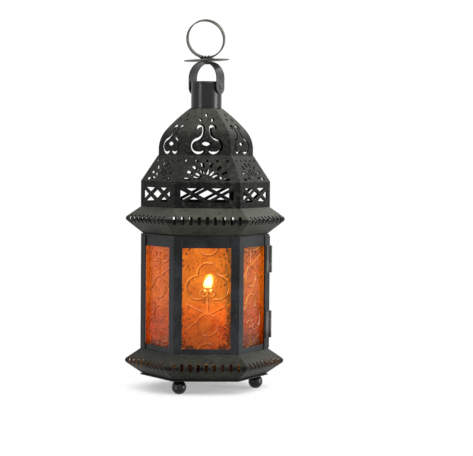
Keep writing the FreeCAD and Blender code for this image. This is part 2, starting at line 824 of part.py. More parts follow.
def candle_wax():
    body = new_body("candle_wax")
    sketch = sketch_on(body, "XZ_Plane")
    side = "size.candle_diameter / 2"
    bore = "(size.wick_diameter / 2 + size.fit_clearance)"
    bore_z = f"({POOL_Z} - size.wick_depth)"
    run = f"({side} - size.candle_lip - {bore})"
    pool = dome_radius(run, "size.pool_depth")
    corners = [("0", WAX_Z), (side, WAX_Z), (side, WAX_TOP_Z), (f"{side} - size.candle_lip", WAX_TOP_Z),
               (bore, POOL_Z), (bore, bore_z), ("0", bore_z)]
    draw(sketch, corners, {3: (pool, "right")})
    revolve(body, sketch)
    return body


def candle_wick():
    wick = rod("candle_wick", "size.wick_diameter / 2", "size.wick_depth + size.wick_length")
    return shift(wick, z=f"{POOL_Z} - size.wick_depth")


# Gallery: a latticed band and the sloping roof over it
def gallery_band():
    body = new_body("gallery_band")
    outer = "size.band_flats / 2"
    inner = f"({outer} - {GAUGE})"
    section = [(f"{outer} - size.flange_width", BAND_Z), (outer, BAND_Z), (outer, ROOF_Z), (inner, ROOF_Z),
               (inner, f"{BAND_Z} + {GAUGE}"), (f"{outer} - size.flange_width", f"{BAND_Z} + {GAUGE}")]
    fold_round(body, section, None, outer)
    pierce(body, lattice_openings(), [], outer)
    return body


def lattice_openings():
    """Openings left between two crosses of straps set side by side in one window."""
    half_cell = "(size.lattice_width / 4)"
    half_height = "(size.lattice_height / 2)"
    centre_z = f"({BAND_Z} + size.lattice_sill + {half_height})"
    reach = f"hypot({half_cell}; {half_height})"
    strap_x = f"(size.strap_width / 2 * {reach} / {half_height})"
    strap_z = f"(size.strap_width / 2 * {reach} / {half_cell})"
    loops = []
    for cell in (f"-{half_cell}", half_cell):
        for top in ("+", "-"):
            edge = f"{centre_z} {top} {half_height}"
            left = f"{cell} - {half_cell} + {strap_x}"
            right = f"{cell} + {half_cell} - {strap_x}"
            loops.append([(left, edge), (right, edge), (cell, f"{centre_z} {top} {strap_z}")])
    for side in ("-", ""):
        edge = f"{side}2 * {half_cell}"
        tip = f"{side}({half_cell} + {strap_x})"
        loops.append([(edge, f"{centre_z} - {half_height} + {strap_z}"), (tip, centre_z),
                      (edge, f"{centre_z} + {half_height} - {strap_z}")])
    loops.append([(f"-{half_cell} + {strap_x}", centre_z), ("0", f"{centre_z} - {half_height} + {strap_z}"),
                  (f"{half_cell} - {strap_x}", centre_z), ("0", f"{centre_z} + {half_height} - {strap_z}")])
    return [(loop, None) for loop in loops]


def gallery_roof():
    body = new_body("gallery_roof")
    foot = "size.band_flats / 2"
    top = "size.roof_top_flats / 2"
    run = f"({foot} - {top})"
    wall = f"({GAUGE} * hypot({run}; size.roof_height) / size.roof_height)"
    flange = f"{top} - size.flange_width"
    section = [(foot, ROOF_Z), (top, CUPOLA_Z), (flange, CUPOLA_Z), (flange, f"{CUPOLA_Z} - {GAUGE}"),
               (f"{top} + {GAUGE} * {run} / size.roof_height - {wall}", f"{CUPOLA_Z} - {GAUGE}"),
               (f"{foot} - {wall}", ROOF_Z)]
    fold_round(body, section, None, foot)
    loops = fan_rays("inner") + fan_rays("outer")
    holes = []
    for number in range(count("fan_hole_count")):
        across = f"({number} - (size.fan_hole_count - 1) / 2) * size.fan_hole_pitch"
        holes.append((across, f"{ROOF_Z} + size.fan_hole_height", "size.fan_hole_diameter / 2"))
    pierce(body, loops, holes, foot)
    return body


def fan_rays(ring):
    """Half an oval ring of tapered rays about the middle of the roof's foot, drawn on the front elevation."""
    copies = f"size.fan_{ring}_count"
    start = f"size.fan_{ring}_start"
    end = f"size.fan_{ring}_end"
    spread = f"size.fan_{ring}_spread"
    centre_z = f"({ROOF_Z} + size.fan_centre_height)"
    loops = []
    for number in range(count(f"fan_{ring}_count")):
        middle = f"90 + ({number} - ({copies} - 1) / 2) * size.fan_step_angle"
        corners = []
        for radius, side in ((start, "-"), (end, "-"), (end, "+"), (start, "+")):
            angle = f"({middle} {side} {spread} / 2)"
            across = f"{radius} * size.fan_stretch * cos({angle})"
            corners.append((across, f"{centre_z} + {radius} * sin({angle})"))
        loops.append((corners, None))
    return loops


# Cupola: a short wall, a tight shoulder and a long dome, closed in at the top by a flange
def cupola():
    body = new_body("cupola")
    side = "(size.roof_top_flats / 2 - size.cupola_inset)"
    shoulder = "size.shoulder_radius"
    dome = "size.dome_radius"
    top = "(size.cupola_top_flats / 2)"
    wall_z = f"({CUPOLA_Z} + size.cupola_wall_height)"
    shoulder_x = f"({side} - {shoulder})"
    spread = f"({dome} - {shoulder})"
    run = f"({top} - {shoulder_x})"
    rise = f"({NECK_Z} - {wall_z})"
    span = f"hypot({run}; {rise})"
    lean = f"(({dome} ^ 2 - {spread} ^ 2 - {span} ^ 2) / (2 * {spread}))"
    turn = f"(atan2({rise}; {run}) - acos({lean} / {span}))"
    dome_x = f"({shoulder_x} - {spread} * cos({turn}))"
    dome_z = f"({wall_z} - {spread} * sin({turn}))"

    def joint(radius):
        return f"{shoulder_x} + ({radius}) * cos({turn})", f"{wall_z} + ({radius}) * sin({turn})"

    under = f"({NECK_Z} - {GAUGE})"
    under_x = f"{dome_x} + sqrt(({dome} - {GAUGE}) ^ 2 - ({under} - {dome_z}) ^ 2)"
    hole = "size.cupola_hole_flats / 2"
    section = [
        (side, CUPOLA_Z), (side, wall_z), joint(shoulder), (top, NECK_Z), (hole, NECK_Z), (hole, under),
        (under_x, under), joint(f"{shoulder} - {GAUGE}"), (f"{side} - {GAUGE}", wall_z),
        (f"{side} - {GAUGE}", CUPOLA_Z),
    ]
    arcs = {1: (shoulder, "left"), 2: (dome, "left"), 6: (f"{dome} - {GAUGE}", "right"),
            7: (f"{shoulder} - {GAUGE}", "right")}
    fold_round(body, section, arcs, side)
    loops = [lyre_slot(-1), lyre_slot(1), leaf(f"({CUPOLA_Z} + size.leaf_height)")]
    loops.append(drop("0", f"({CUPOLA_Z} + size.drop_height)", "90"))
    row_z = f"({CUPOLA_Z} + size.drop_row_height)"
    loops.append(drop("-size.drop_row_offset", row_z, "(90 + size.drop_row_lean)"))
    loops.append(drop("size.drop_row_offset", row_z, "(90 - size.drop_row_lean)"))
    pierce(body, loops, [], side)
    return body


def lyre_slot(side):
    """One half of the lyre: a bulb, a narrow neck and an outward curl, as a slot with round ends.

    side is -1 for the left half and 1 for its mirror image on the right.
    """
    half = "(size.lyre_slot_width / 2)"
    turn = "size.lyre_turn_angle"
    foot_angle = "size.lyre_foot_angle"
    belly_angle = f"(({foot_angle} + {turn}) / 2)"
    end_angle = "size.lyre_curl_end_angle"
    reach = "(size.lyre_bulb_radius + size.lyre_neck_radius)"
    bulb_x = "(-size.lyre_bulb_offset)"
    bulb_z = f"({CUPOLA_Z} + size.lyre_bulb_height)"
    neck_x = f"({bulb_x} + {reach} * cos({turn}))"
    neck_z = f"({bulb_z} + {reach} * sin({turn}))"
    curl_x = f"({neck_x} + size.lyre_neck_radius - size.lyre_curl_radius)"
    curl_z = f"({neck_z} + size.lyre_stem)"
    mirrored = "-1 * " if side > 0 else ""

    def around(x, z, radius, angle):
        return f"{mirrored}({x} + ({radius}) * cos({angle}))", f"{z} + ({radius}) * sin({angle})"

    def edge(bulb, neck, curl):
        """One edge of the slot, from the bulb's foot to the end of the curl."""
        return [
            around(bulb_x, bulb_z, bulb, foot_angle),
            around(bulb_x, bulb_z, bulb, belly_angle),
            around(bulb_x, bulb_z, bulb, turn),
            around(neck_x, neck_z, neck, "360"),
            around(curl_x, curl_z, curl, "0"),
            around(curl_x, curl_z, curl, "90"),
            around(curl_x, curl_z, curl, end_angle),
        ]

    outer_bulb = f"size.lyre_bulb_radius + {half}"
    inner_bulb = f"size.lyre_bulb_radius - {half}"
    outer_neck = f"size.lyre_neck_radius - {half}"
    inner_neck = f"size.lyre_neck_radius + {half}"
    outer_curl = f"size.lyre_curl_radius - {half}"
    inner_curl = f"size.lyre_curl_radius + {half}"
    corners = edge(outer_bulb, outer_neck, outer_curl) + edge(inner_bulb, inner_neck, inner_curl)[::-1]
    left, right = ("left", "right") if side < 0 else ("right", "left")
    arcs = {0: (outer_bulb, right), 1: (outer_bulb, right), 2: (outer_neck, left)}
    arcs |= {4: (outer_curl, left), 5: (outer_curl, left), 6: ("size.lyre_end_radius", right)}
    arcs |= {7: (inner_curl, right), 8: (inner_curl, right), 10: (inner_neck, right)}
    arcs |= {11: (inner_bulb, left), 12: (inner_bulb, left), 13: ("size.lyre_end_radius", right)}
    return corners, arcs


def leaf(z):
    """A pointed leaf lying across the middle of the side, between two arcs."""
    half = "size.leaf_width / 2"
    corners = [(f"-{half}", z), (half, z)]
    return corners, {0: ("size.leaf_radius", "left"), 1: ("size.leaf_radius", "left")}


def drop(x, z, angle):
    """A small pointed drop between two arcs, set along an angle."""
    half = "size.drop_length / 2"
    corners = [(f"{x} - {half} * cos({angle})", f"{z} - {half} * sin({angle})"),
               (f"{x} + {half} * cos({angle})", f"{z} + {half} * sin({angle})")]
    return corners, {0: ("size.drop_radius", "left"), 1: ("size.drop_radius", "left")}


# Neck and the strap bail that swings on its rivets
ARCH_INNER = "(size.neck_diameter / 2 + size.bail_gap)"
ARCH_OUTER = f"({ARCH_INNER} + size.bail_gauge)"
BAIL_TOP_Z = f"({ARCH_Z} + {ARCH_OUTER})"


def neck():
    body = new_body("neck")
    sketch = sketch_on(body, "XZ_Plane")
    side = "size.neck_diameter / 2"
    edge = "size.neck_edge_radius"
    inner_edge = f"{edge} - {GAUGE}"
    corners = [
        (f"{side} - {GAUGE}", NECK_Z), (side, NECK_Z), (side, f"{CAP_Z} - {edge}"),
        (f"{side} - {edge}", CAP_Z), ("0", CAP_Z), ("0", f"{CAP_Z} - {GAUGE}"),
        (f"{side} - {edge}", f"{CAP_Z} - {GAUGE}"),
        (f"{side} - {GAUGE}", f"{CAP_Z} - {edge}"),
    ]
    draw(sketch, corners, {2: (edge, "left"), 6: (inner_edge, "right")})
    revolve(body, sketch)
    hole = sketch_on(body, "YZ_Plane")
    draw_circle(hole, "0", PIVOT_Z, "size.rivet_diameter / 2 + size.fit_clearance")
    pocket(body, hole, f"size.neck_diameter + {OVERSHOOT}", symmetric=True)
    turn_about_axis(body, "size.bail_yaw")
    return body


def bail_rivet(number, side):
    """Round-headed rivet through the neck's wall, with its head outside the bail."""
    body = new_body(f"bail_rivet_{number}")
    sketch = sketch_on(body, "XY_Plane")
    shank = "size.rivet_diameter / 2"
    head = "size.rivet_head_diameter / 2"
    wall = f"(size.neck_diameter / 2 - {GAUGE})"
    tail_end = f"(sqrt({wall} ^ 2 - ({head}) ^ 2) - size.fit_clearance)"
    head_start = f"({ARCH_OUTER} + 2 * size.fit_clearance)"
    corners = [
        (f"{tail_end} - size.rivet_head_height", "0"), (f"{head_start} + size.rivet_head_height", "0"),
        (head_start, head), (head_start, shank), (tail_end, shank), (tail_end, head),
        (f"{tail_end} - size.rivet_head_height", head),
    ]
    draw(sketch, corners, {1: (dome_radius(head, "size.rivet_head_height"), "left")})
    revolve(body, sketch, "X_Axis")
    turn_about_axis(body, f"(size.bail_yaw + {180 * side})", "0", "0", PIVOT_Z)
    return body


def bail():
    body = new_body("bail")
    sketch = sketch_on(body, "XZ_Plane")
    foot_z = f"({PIVOT_Z} - size.bail_tail)"
    corners = [
        (f"-{ARCH_OUTER}", foot_z), (f"-{ARCH_OUTER}", ARCH_Z), ("0", BAIL_TOP_Z), (ARCH_OUTER, ARCH_Z),
        (ARCH_OUTER, foot_z), (ARCH_INNER, foot_z), (ARCH_INNER, ARCH_Z), ("0", f"{ARCH_Z} + {ARCH_INNER}"),
        (f"-{ARCH_INNER}", ARCH_Z), (f"-{ARCH_INNER}", foot_z),
    ]
    arcs = {1: (ARCH_OUTER, "right"), 2: (ARCH_OUTER, "right")}
    arcs |= {6: (ARCH_INNER, "left"), 7: (ARCH_INNER, "left")}
    draw(sketch, corners, arcs)
    pad(body, sketch, "size.bail_width", symmetric=True)
    through = f"2 * {ARCH_OUTER} + {OVERSHOOT}"
    ends = sketch_on(body, "YZ_Plane")
    below_z = f"{foot_z} - {OVERSHOOT}"
    for side, turn in (("-", "left"), ("", "right")):
        edge = f"{side}size.bail_width / 2"
        tip = f"{side}size.bail_tip_width / 2"
        corners = [(edge, below_z), (edge, PIVOT_Z), (tip, foot_z), (tip, below_z)]
        draw(ends, corners, {1: ("size.bail_end_radius", turn)})
    pocket(body, ends, through, symmetric=True)
    holes = sketch_on(body, "YZ_Plane")
    draw_circle(holes, "0", PIVOT_Z, "size.rivet_diameter / 2 + size.fit_clearance")
    pocket(body, holes, through, symmetric=True)
    crown = sketch_on(body, "XY_Plane", f"{BAIL_TOP_Z} + {OVERSHOOT}")
    draw_circle(crown, "0", "0", "size.pin_diameter / 2 + size.fit_clearance")
    pocket(body, crown, f"size.bail_gauge + 2 * {OVERSHOOT}")
    turn_about_axis(body, "size.bail_yaw")
    return body


# Rosette, petals, swivel pin and ring turn together on the bail's crown
ROSETTE_Z = f"({BAIL_TOP_Z} + size.rosette_gap)"
PETAL_Z = f"({ROSETTE_Z} + size.rosette_gauge + size.petal_gap)"
RING_FOOT_Z = f"({PETAL_Z} + size.petal_gauge + size.ring_seat_gap)"


def rosette():
    body = new_body("rosette")
    sketch = sketch_on(body, "XY_Plane")
    draw_circle(sketch, "0", "0", "size.rosette_diameter / 2")
    draw_circle(sketch, "0", "0", "size.pin_diameter / 2 + 2 * size.fit_clearance")
    pad(body, sketch, "size.rosette_gauge")
    tilt = "rotation(vector(0; 1; 0); size.rosette_tilt)"
    body.setExpression("Placement", f"placement(vector(0; 0; {ROSETTE_Z}); {tilt})")
    return body


def petals():
    """A small dished flower whose tips turn up round the foot of the ring."""
    body = new_body("petals")
    sketch = sketch_on(body, "XZ_Plane")
    bore = "size.pin_diameter / 2 + size.fit_clearance"
    floor = "size.petal_floor_diameter / 2"
    tip = "size.petal_diameter / 2"
    top_z = f"{PETAL_Z} + size.petal_height"
    corners = [(bore, PETAL_Z), (floor, PETAL_Z), (tip, top_z), (f"{tip} - size.petal_gauge", top_z),
               (floor, f"{PETAL_Z} + size.petal_gauge"), (bore, f"{PETAL_Z} + size.petal_gauge")]
    draw(sketch, corners)
    revolve(body, sketch)
    notch = sketch_on(body, "XY_Plane", f"{top_z} + {OVERSHOOT}")
    half = "size.petal_notch_width / 2"
    beyond = f"{tip} + {OVERSHOOT}"
    draw(notch, [(floor, "0"), (beyond, f"-{half}"), (beyond, half)])
    feature = pocket(body, notch, f"size.petal_height + 2 * {OVERSHOOT}")
    polar(body, feature, count("petal_count"))
    return body


RING_TURN = "rotation(vector(0; 0; 1); size.ring_yaw) * rotation(vector(1; 0; 0); size.ring_lean)"
RING_CENTRE = f"vector(0; 0; {RING_FOOT_Z}) + ({RING_TURN}) * vector(0; 0; size.ring_diameter / 2)"


def ring_place(piece):
    piece.setExpression("Placement", f"placement({RING_CENTRE}; {RING_TURN})")


def hanging_ring():
    body = new_body("hanging_ring")
    sketch = sketch_on(body, "XZ_Plane")
    draw_circle(sketch, "0", "0", "size.ring_diameter / 2")
    draw_circle(sketch, "0", "0", "size.ring_diameter / 2 - size.ring_gauge")
    pad(body, sketch, "size.ring_width", symmetric=True)
    ring_place(body)
    return body


def swivel_pin():
    """Headed pin through the bail's crown, its upper end shaped to the ring's underside."""
    arch_under = f"({ARCH_Z} + {ARCH_INNER})"
    head_z = f"({arch_under} - size.pin_head_gap - size.pin_head_height)"
    head = shift(rod("swivel_pin_head", "size.pin_head_diameter / 2", "size.pin_head_height"), z=head_z)
    shank = rod("swivel_pin_shank", "size.pin_diameter / 2", f"{RING_FOOT_Z} + size.ring_gauge - {head_z}")
    shift(shank, z=head_z)
    saddle = new_body("swivel_pin_saddle")
    sketch = sketch_on(saddle, "XZ_Plane")
    draw_circle(sketch, "0", "0", "size.ring_diameter / 2")
    pad(saddle, sketch, "4 * size.ring_width", symmetric=True)
    ring_place(saddle)
    return cut("swivel_pin", fuse("swivel_pin_blank", [head, shank]), saddle)


FEET = ("foot_right", "foot_back_left", "foot_front_left")
nodes = [ball_foot(name, step) for step, name in enumerate(FEET)]
nodes.append(group("foot_studs", [foot_stud(step) for step in range(3)]))
nodes.append(base_plate())
nodes.append(flare("base_skirt", SKIRT_Z, "size.skirt_height", "size.skirt_rim_height"))
nodes += [corner_post(name, angle) for name, angle in CORNERS.items()]
nodes.append(rail("lower_rail", BOX_Z, "size.lower_rail_height"))
nodes.append(rail("upper_rail", f"({CROWN_Z} - size.upper_rail_height)", "size.upper_rail_height"))
nodes.append(crown_plate())
nodes += [glass_pane(name, angle) for name, angle in FIXED_SIDES.items()]
nodes.append(glass_clips())
nodes += [door_frame(), door_glass(), door_glass_clips()]
POST_LEAF_OUT = "-size.knuckle_diameter / 2 - size.hinge_seat_gap"
DOOR_LEAF_OUT = f"{DOOR_OUTER} - {HINGE_OUT}"
for level in ("lower", "upper"):
    height = f"size.{level}_hinge_height"
    nodes.append(hinge_leaf(f"post_leaf_{level}", POST_LEAF_OUT, -1, (0, 2), height))
    nodes.append(hinge_leaf(f"door_leaf_{level}", DOOR_LEAF_OUT, 1, (1,), height))
nodes.append(hinge_pins())
nodes += [latch_button(), latch_rivet()]
nodes += [candle_cup(), candle_wax(), candle_wick()]
nodes.append(flare("eave", EAVE_Z, "size.eave_height", "size.eave_rim_height"))
nodes += [gallery_band(), gallery_roof(), cupola(), neck()]
nodes.append(group("bail_rivets", [bail_rivet(side + 1, side) for side in (0, 1)]))
nodes += [bail(), rosette(), petals(), swivel_pin(), hanging_ring()]

doc.recompute()

for piece in doc.Objects:
    if "Invalid" in piece.State or "Error" in piece.State:
        raise RuntimeError(f"{piece.Label} did not build: {piece.State}")
for node in nodes:
    if node.Shape.isNull() or not node.Shape.isValid():
        raise RuntimeError(f"{node.Label} is not a valid shape")
    node.Shape.exportStep(f"parts/{node.Label}.step")
    print(node.Label, len(node.Shape.Solids), round(node.Shape.Volume, 1))
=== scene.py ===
# %% [markdown]
# Candle lantern: dressing the frame
#
# The frame holds every sheet-metal piece at its real size, in metres, with the origin on the table under
# the lantern's axis, +Z up and the front pane facing -Y. This lesson gives each surface its finish,
# replaces the plain panes, candle and wick by modelled ones, and sets up the camera and the light.

# %% Load the frame
import math
from collections import namedtuple

import bmesh
import bpy
from mathutils import Matrix, Vector, noise


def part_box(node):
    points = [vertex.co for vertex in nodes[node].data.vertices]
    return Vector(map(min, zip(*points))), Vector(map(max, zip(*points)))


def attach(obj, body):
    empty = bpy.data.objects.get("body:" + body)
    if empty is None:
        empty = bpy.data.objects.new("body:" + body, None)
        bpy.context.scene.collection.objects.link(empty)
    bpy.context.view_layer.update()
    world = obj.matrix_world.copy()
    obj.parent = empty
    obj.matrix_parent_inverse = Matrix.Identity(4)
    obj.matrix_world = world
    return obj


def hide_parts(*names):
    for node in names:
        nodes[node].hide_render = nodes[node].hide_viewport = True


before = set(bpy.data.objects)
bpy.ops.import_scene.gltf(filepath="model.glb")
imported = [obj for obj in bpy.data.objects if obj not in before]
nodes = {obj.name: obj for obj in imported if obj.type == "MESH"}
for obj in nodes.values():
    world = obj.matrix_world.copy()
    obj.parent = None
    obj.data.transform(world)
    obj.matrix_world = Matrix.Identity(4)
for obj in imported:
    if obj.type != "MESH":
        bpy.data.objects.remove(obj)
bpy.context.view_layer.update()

scene = bpy.context.scene

# %% [markdown]
# The camera. A product photograph like this one is taken from far away with a long lens, so upright lines
# stay almost upright. The view could be set by eye. Working it out from a few pixels that are read from
# the photograph is surer: the camera stands at the height where flat edges look like straight lines, a
# little to the left, and is then turned until the lantern's axis and that eye level fall where they do in
# the picture.

# %% Camera
IMAGE_WIDTH = 473
IMAGE_HEIGHT = 456
AXIS_PIXEL_X = 205.3
HORIZON_PIXEL_Y = 150
FLOOR_PIXEL_Y = 388.8
FOCAL_PIXELS = 1700
METRES_PER_PIXEL = 0.000755
SENSOR_WIDTH = 36
VIEW_TURN = math.radians(1.7)
VIEW_ROLL = math.radians(0.5)
QUARTER_TURN = math.radians(90)


def add_object(name, data):
    """Make an object from its data and link it to the scene."""
    added = bpy.data.objects.new(name, data)
    scene.collection.objects.link(added)
    return added


camera_distance = FOCAL_PIXELS * METRES_PER_PIXEL
eye_height = (FLOOR_PIXEL_Y - HORIZON_PIXEL_Y) * METRES_PER_PIXEL
camera_data = bpy.data.cameras.new("camera")
camera_data.sensor_width = SENSOR_WIDTH
camera_data.sensor_fit = "HORIZONTAL"
camera_data.lens = FOCAL_PIXELS / IMAGE_WIDTH * SENSOR_WIDTH
stand = Vector((-math.sin(VIEW_TURN), -math.cos(VIEW_TURN), 0)) * camera_distance
pan = math.atan((IMAGE_WIDTH / 2 - AXIS_PIXEL_X) / FOCAL_PIXELS)
tilt = math.atan((IMAGE_HEIGHT / 2 - HORIZON_PIXEL_Y) / FOCAL_PIXELS)
heading = Matrix.Rotation(-VIEW_TURN - pan, 4, "Z")
lift = Matrix.Rotation(QUARTER_TURN - tilt, 4, "X")
roll = Matrix.Rotation(VIEW_ROLL, 4, "Z")
camera = add_object("camera", camera_data)
camera.matrix_world = Matrix.Translation(stand + Vector((0, 0, eye_height))) @ heading @ lift @ roll
scene.camera = camera
scene.view_settings.view_transform = "Standard"
print("camera:", round(camera_distance, 3), "m away, eye at", round(eye_height, 3), "m")

# %% [markdown]
# Shader maths. A finish could be wired node by node, one line for each link, but its recipe reads best as
# sums. `Value` wraps one output of a node, and each operator adds one Math node, so `1 - mask * 0.5`
# works as it is written.

# %% Values of a shader
class Value:
    """One output of a node, usable in Python sums."""

    def __init__(self, finish, socket):
        self.finish = finish
        self.socket = socket

    def math(self, operation, first, second):
        """Add one Math node."""
        return self.finish.node("ShaderNodeMath", {"operation": operation}, {0: first, 1: second})

    def __add__(self, other):
        return self.math("ADD", self, other)

    def __radd__(self, other):
        return self.math("ADD", other, self)

    def __sub__(self, other):
        return self.math("SUBTRACT", self, other)

    def __rsub__(self, other):
        return self.math("SUBTRACT", other, self)

    def __mul__(self, other):
        return self.math("MULTIPLY", self, other)

    def __rmul__(self, other):
        return self.math("MULTIPLY", other, self)

    def at_most(self, other):
        return self.math("MINIMUM", self, other)

    def at_least(self, other):
        return self.math("MAXIMUM", self, other)

    def fade(self, start, end):
        """0 below start, 1 above end, and a smooth rise between."""
        settings = {"interpolation_type": "SMOOTHSTEP"}
        return self.finish.node("ShaderNodeMapRange", settings, {0: self, 1: start, 2: end})


print("made the class", Value.__name__)

# %% [markdown]
# `Finish` is one material, or the surround. Its `node` method is the only way that a node is made:
# settings first, then the values or links of its sockets. The other methods are the few patterns that the
# finishes below share, so that each recipe stays short. Patterns read Object coordinates, which need no
# unwrapping and stay in place when a piece moves. In the recipes a noise is named with its scale and its
# detail, and a fade with the values where it starts and ends.

# %% Finishes
BEVEL_SAMPLES = 4
EDGE_FADE = (0.01, 0.2)
INNER_FADE = (0.0, 0.004)


class Finish:
    """The node tree of one material or of the world, and the one method that adds its nodes."""

    def __init__(self, owner):
        self.owner = owner
        self.owner.use_nodes = True
        self.tree = self.owner.node_tree
        self.tree.nodes.clear()
        self.place = self.node("ShaderNodeTexCoord", output="Object")

    def node(self, kind, settings=None, inputs=None, output=0):
        """Add a node: its settings first, then the values or links of its sockets. Gives one output back."""
        made = self.tree.nodes.new(kind)
        for setting, amount in (settings or {}).items():
            setattr(made, setting, amount)
        for name, amount in (inputs or {}).items():
            if isinstance(amount, Value):
                self.tree.links.new(amount.socket, made.inputs[name])
            else:
                made.inputs[name].default_value = amount
        return Value(self, made.outputs[output]) if output is not None else None

    def cloud(self, scale, detail, place=None):
        """Soft noise between 0 and 1."""
        inputs = {"Vector": place or self.place, "Scale": scale, "Detail": detail}
        return self.node("ShaderNodeTexNoise", None, inputs, "Fac")

    def blend(self, share, first, second):
        """Mix two colours."""
        return self.node("ShaderNodeMix", {"data_type": "RGBA"}, {0: share, 6: first, 7: second}, 2)

    def attribute(self, name):
        """A number that the mesh holds for each of its points."""
        return self.node("ShaderNodeAttribute", {"attribute_name": name}, None, "Fac")

    def measure(self, operation, first, second=(0, 0, 0)):
        """One number worked out from vectors."""
        return self.node("ShaderNodeVectorMath", {"operation": operation}, {0: first, 1: second}, "Value")

    def upright(self, vector):
        """The vertical part of a vector."""
        return self.node("ShaderNodeSeparateXYZ", None, {0: vector}, "Z")

    def normal(self):
        """Which way the surface looks, in the piece's own frame."""
        return self.node("ShaderNodeTexCoord", output="Normal")

    def facing_in(self):
        """1 on faces that look at the lantern's axis and 0 on those that look away."""
        outwards = self.measure("DOT_PRODUCT", self.normal(), self.place)
        return (0 - outwards).fade(*INNER_FADE)

    def rounded(self, radius):
        """The surface's normal with its sharp edges rounded off."""
        return self.node("ShaderNodeBevel", {"samples": BEVEL_SAMPLES}, {"Radius": radius})

    def edges(self, radius):
        """1 along sharp edges, where the rounded normal parts from the true one, and 0 on flats."""
        true_normal = self.node("ShaderNodeNewGeometry", output="Normal")
        agreement = self.measure("DOT_PRODUCT", self.rounded(radius), true_normal)
        return (1 - agreement).fade(*EDGE_FADE)

    def bump(self, height, strength, distance, rounding=0.0):
        """Fine relief, with edges rounded off where a radius is given."""
        inputs = {"Height": height, "Strength": strength, "Distance": distance}
        if rounding:
            inputs["Normal"] = self.rounded(rounding)
        return self.node("ShaderNodeBump", None, inputs)

    def seen(self):
        """1 for what shows straight, in a mirror or through glass, and 0 for light that falls on a piece."""
        kinds = ("Is Camera Ray", "Is Glossy Ray", "Is Transmission Ray")
        straight, mirrored, through = [self.node("ShaderNodeLightPath", output=kind) for kind in kinds]
        return straight.at_least(mirrored).at_least(through)

    def surface(self, **sockets):
        """Close the material with one Principled shader; underscores stand for spaces."""
        inputs = {name.replace("_", " "): amount for name, amount in sockets.items()}
        return self.close(self.node("ShaderNodeBsdfPrincipled", None, inputs))

    def close(self, shader, kind="ShaderNodeOutputMaterial"):
        """Join a shader to the output and give the finished material or world back."""
        self.node(kind, None, {"Surface": shader}, None)
        return self.owner


print("made the class", Finish.__name__)

# %% [markdown]
# Dark iron. The sheet is sprayed satin charcoal, and rubbing turns its folds olive-grey. Flat faces are
# painted olive-grey as well: where they look up this is partly rubbing and dust and partly painted light
# from above, and where they look down it is a painted reflection of the floor.
# The real thing is never one grey: big soft clouds, streaks, mottling, fine speckle and worn edges all
# show in the photograph. A painted picture could hold them, but it would have to be unwrapped onto every
# pierced sheet. Here they are mixed from noise at four scales, from how far each face looks up or down,
# and from the edges.

# %% Recipe for painted iron
BLACK = (0, 0, 0, 1)
IRON_SHADE = (0.0035, 0.0036, 0.0036, 1)
IRON_CLOUDS = (55, 5)
CLOUD_FADE = (0.34, 0.68)
IRON_STREAKS = (90, 4)
STREAK_STRETCH = (1, 1, 0.12)
STREAK_FADE = (0.52, 0.78)
STREAK_SHARE = 0.12
IRON_MOTTLE = (420, 3)
PALE_MOTTLE_FADE = (0.50, 0.72)
PALE_MOTTLE_SHARE = 0.26
DARK_MOTTLE_FADE = (0.52, 0.72)
DARK_MOTTLE_SHARE = 0.50
IRON_SPECKLE = (1500, 2)
FLAT_FADE = (0.35, 0.9)
UNDERSIDE_PAINTED_REFLECTION = 0.55
RUB_AND_LIGHT_LEAST = 0.45
RUB_AND_LIGHT_BY_CLOUDS = 0.8
WEAR_RADIUS = 0.0005
WEAR_BY_CLOUDS = 0.8
WEAR_BY_STREAKS = 0.6
WEAR_FADE = (0.35, 0.95)
WEAR_SHARE = 0.5
ROUGH_BY_CLOUDS = 0.16
ROUGH_BY_SPECKLE = 0.12
SMOOTH_BY_WEAR = 0.08
RELIEF_BY_SPECKLE = 0.5
RELIEF_BY_CLOUDS = 0.8
FOLD_RADIUS = 0.0004
PAINT_RELIEF = 0.0004


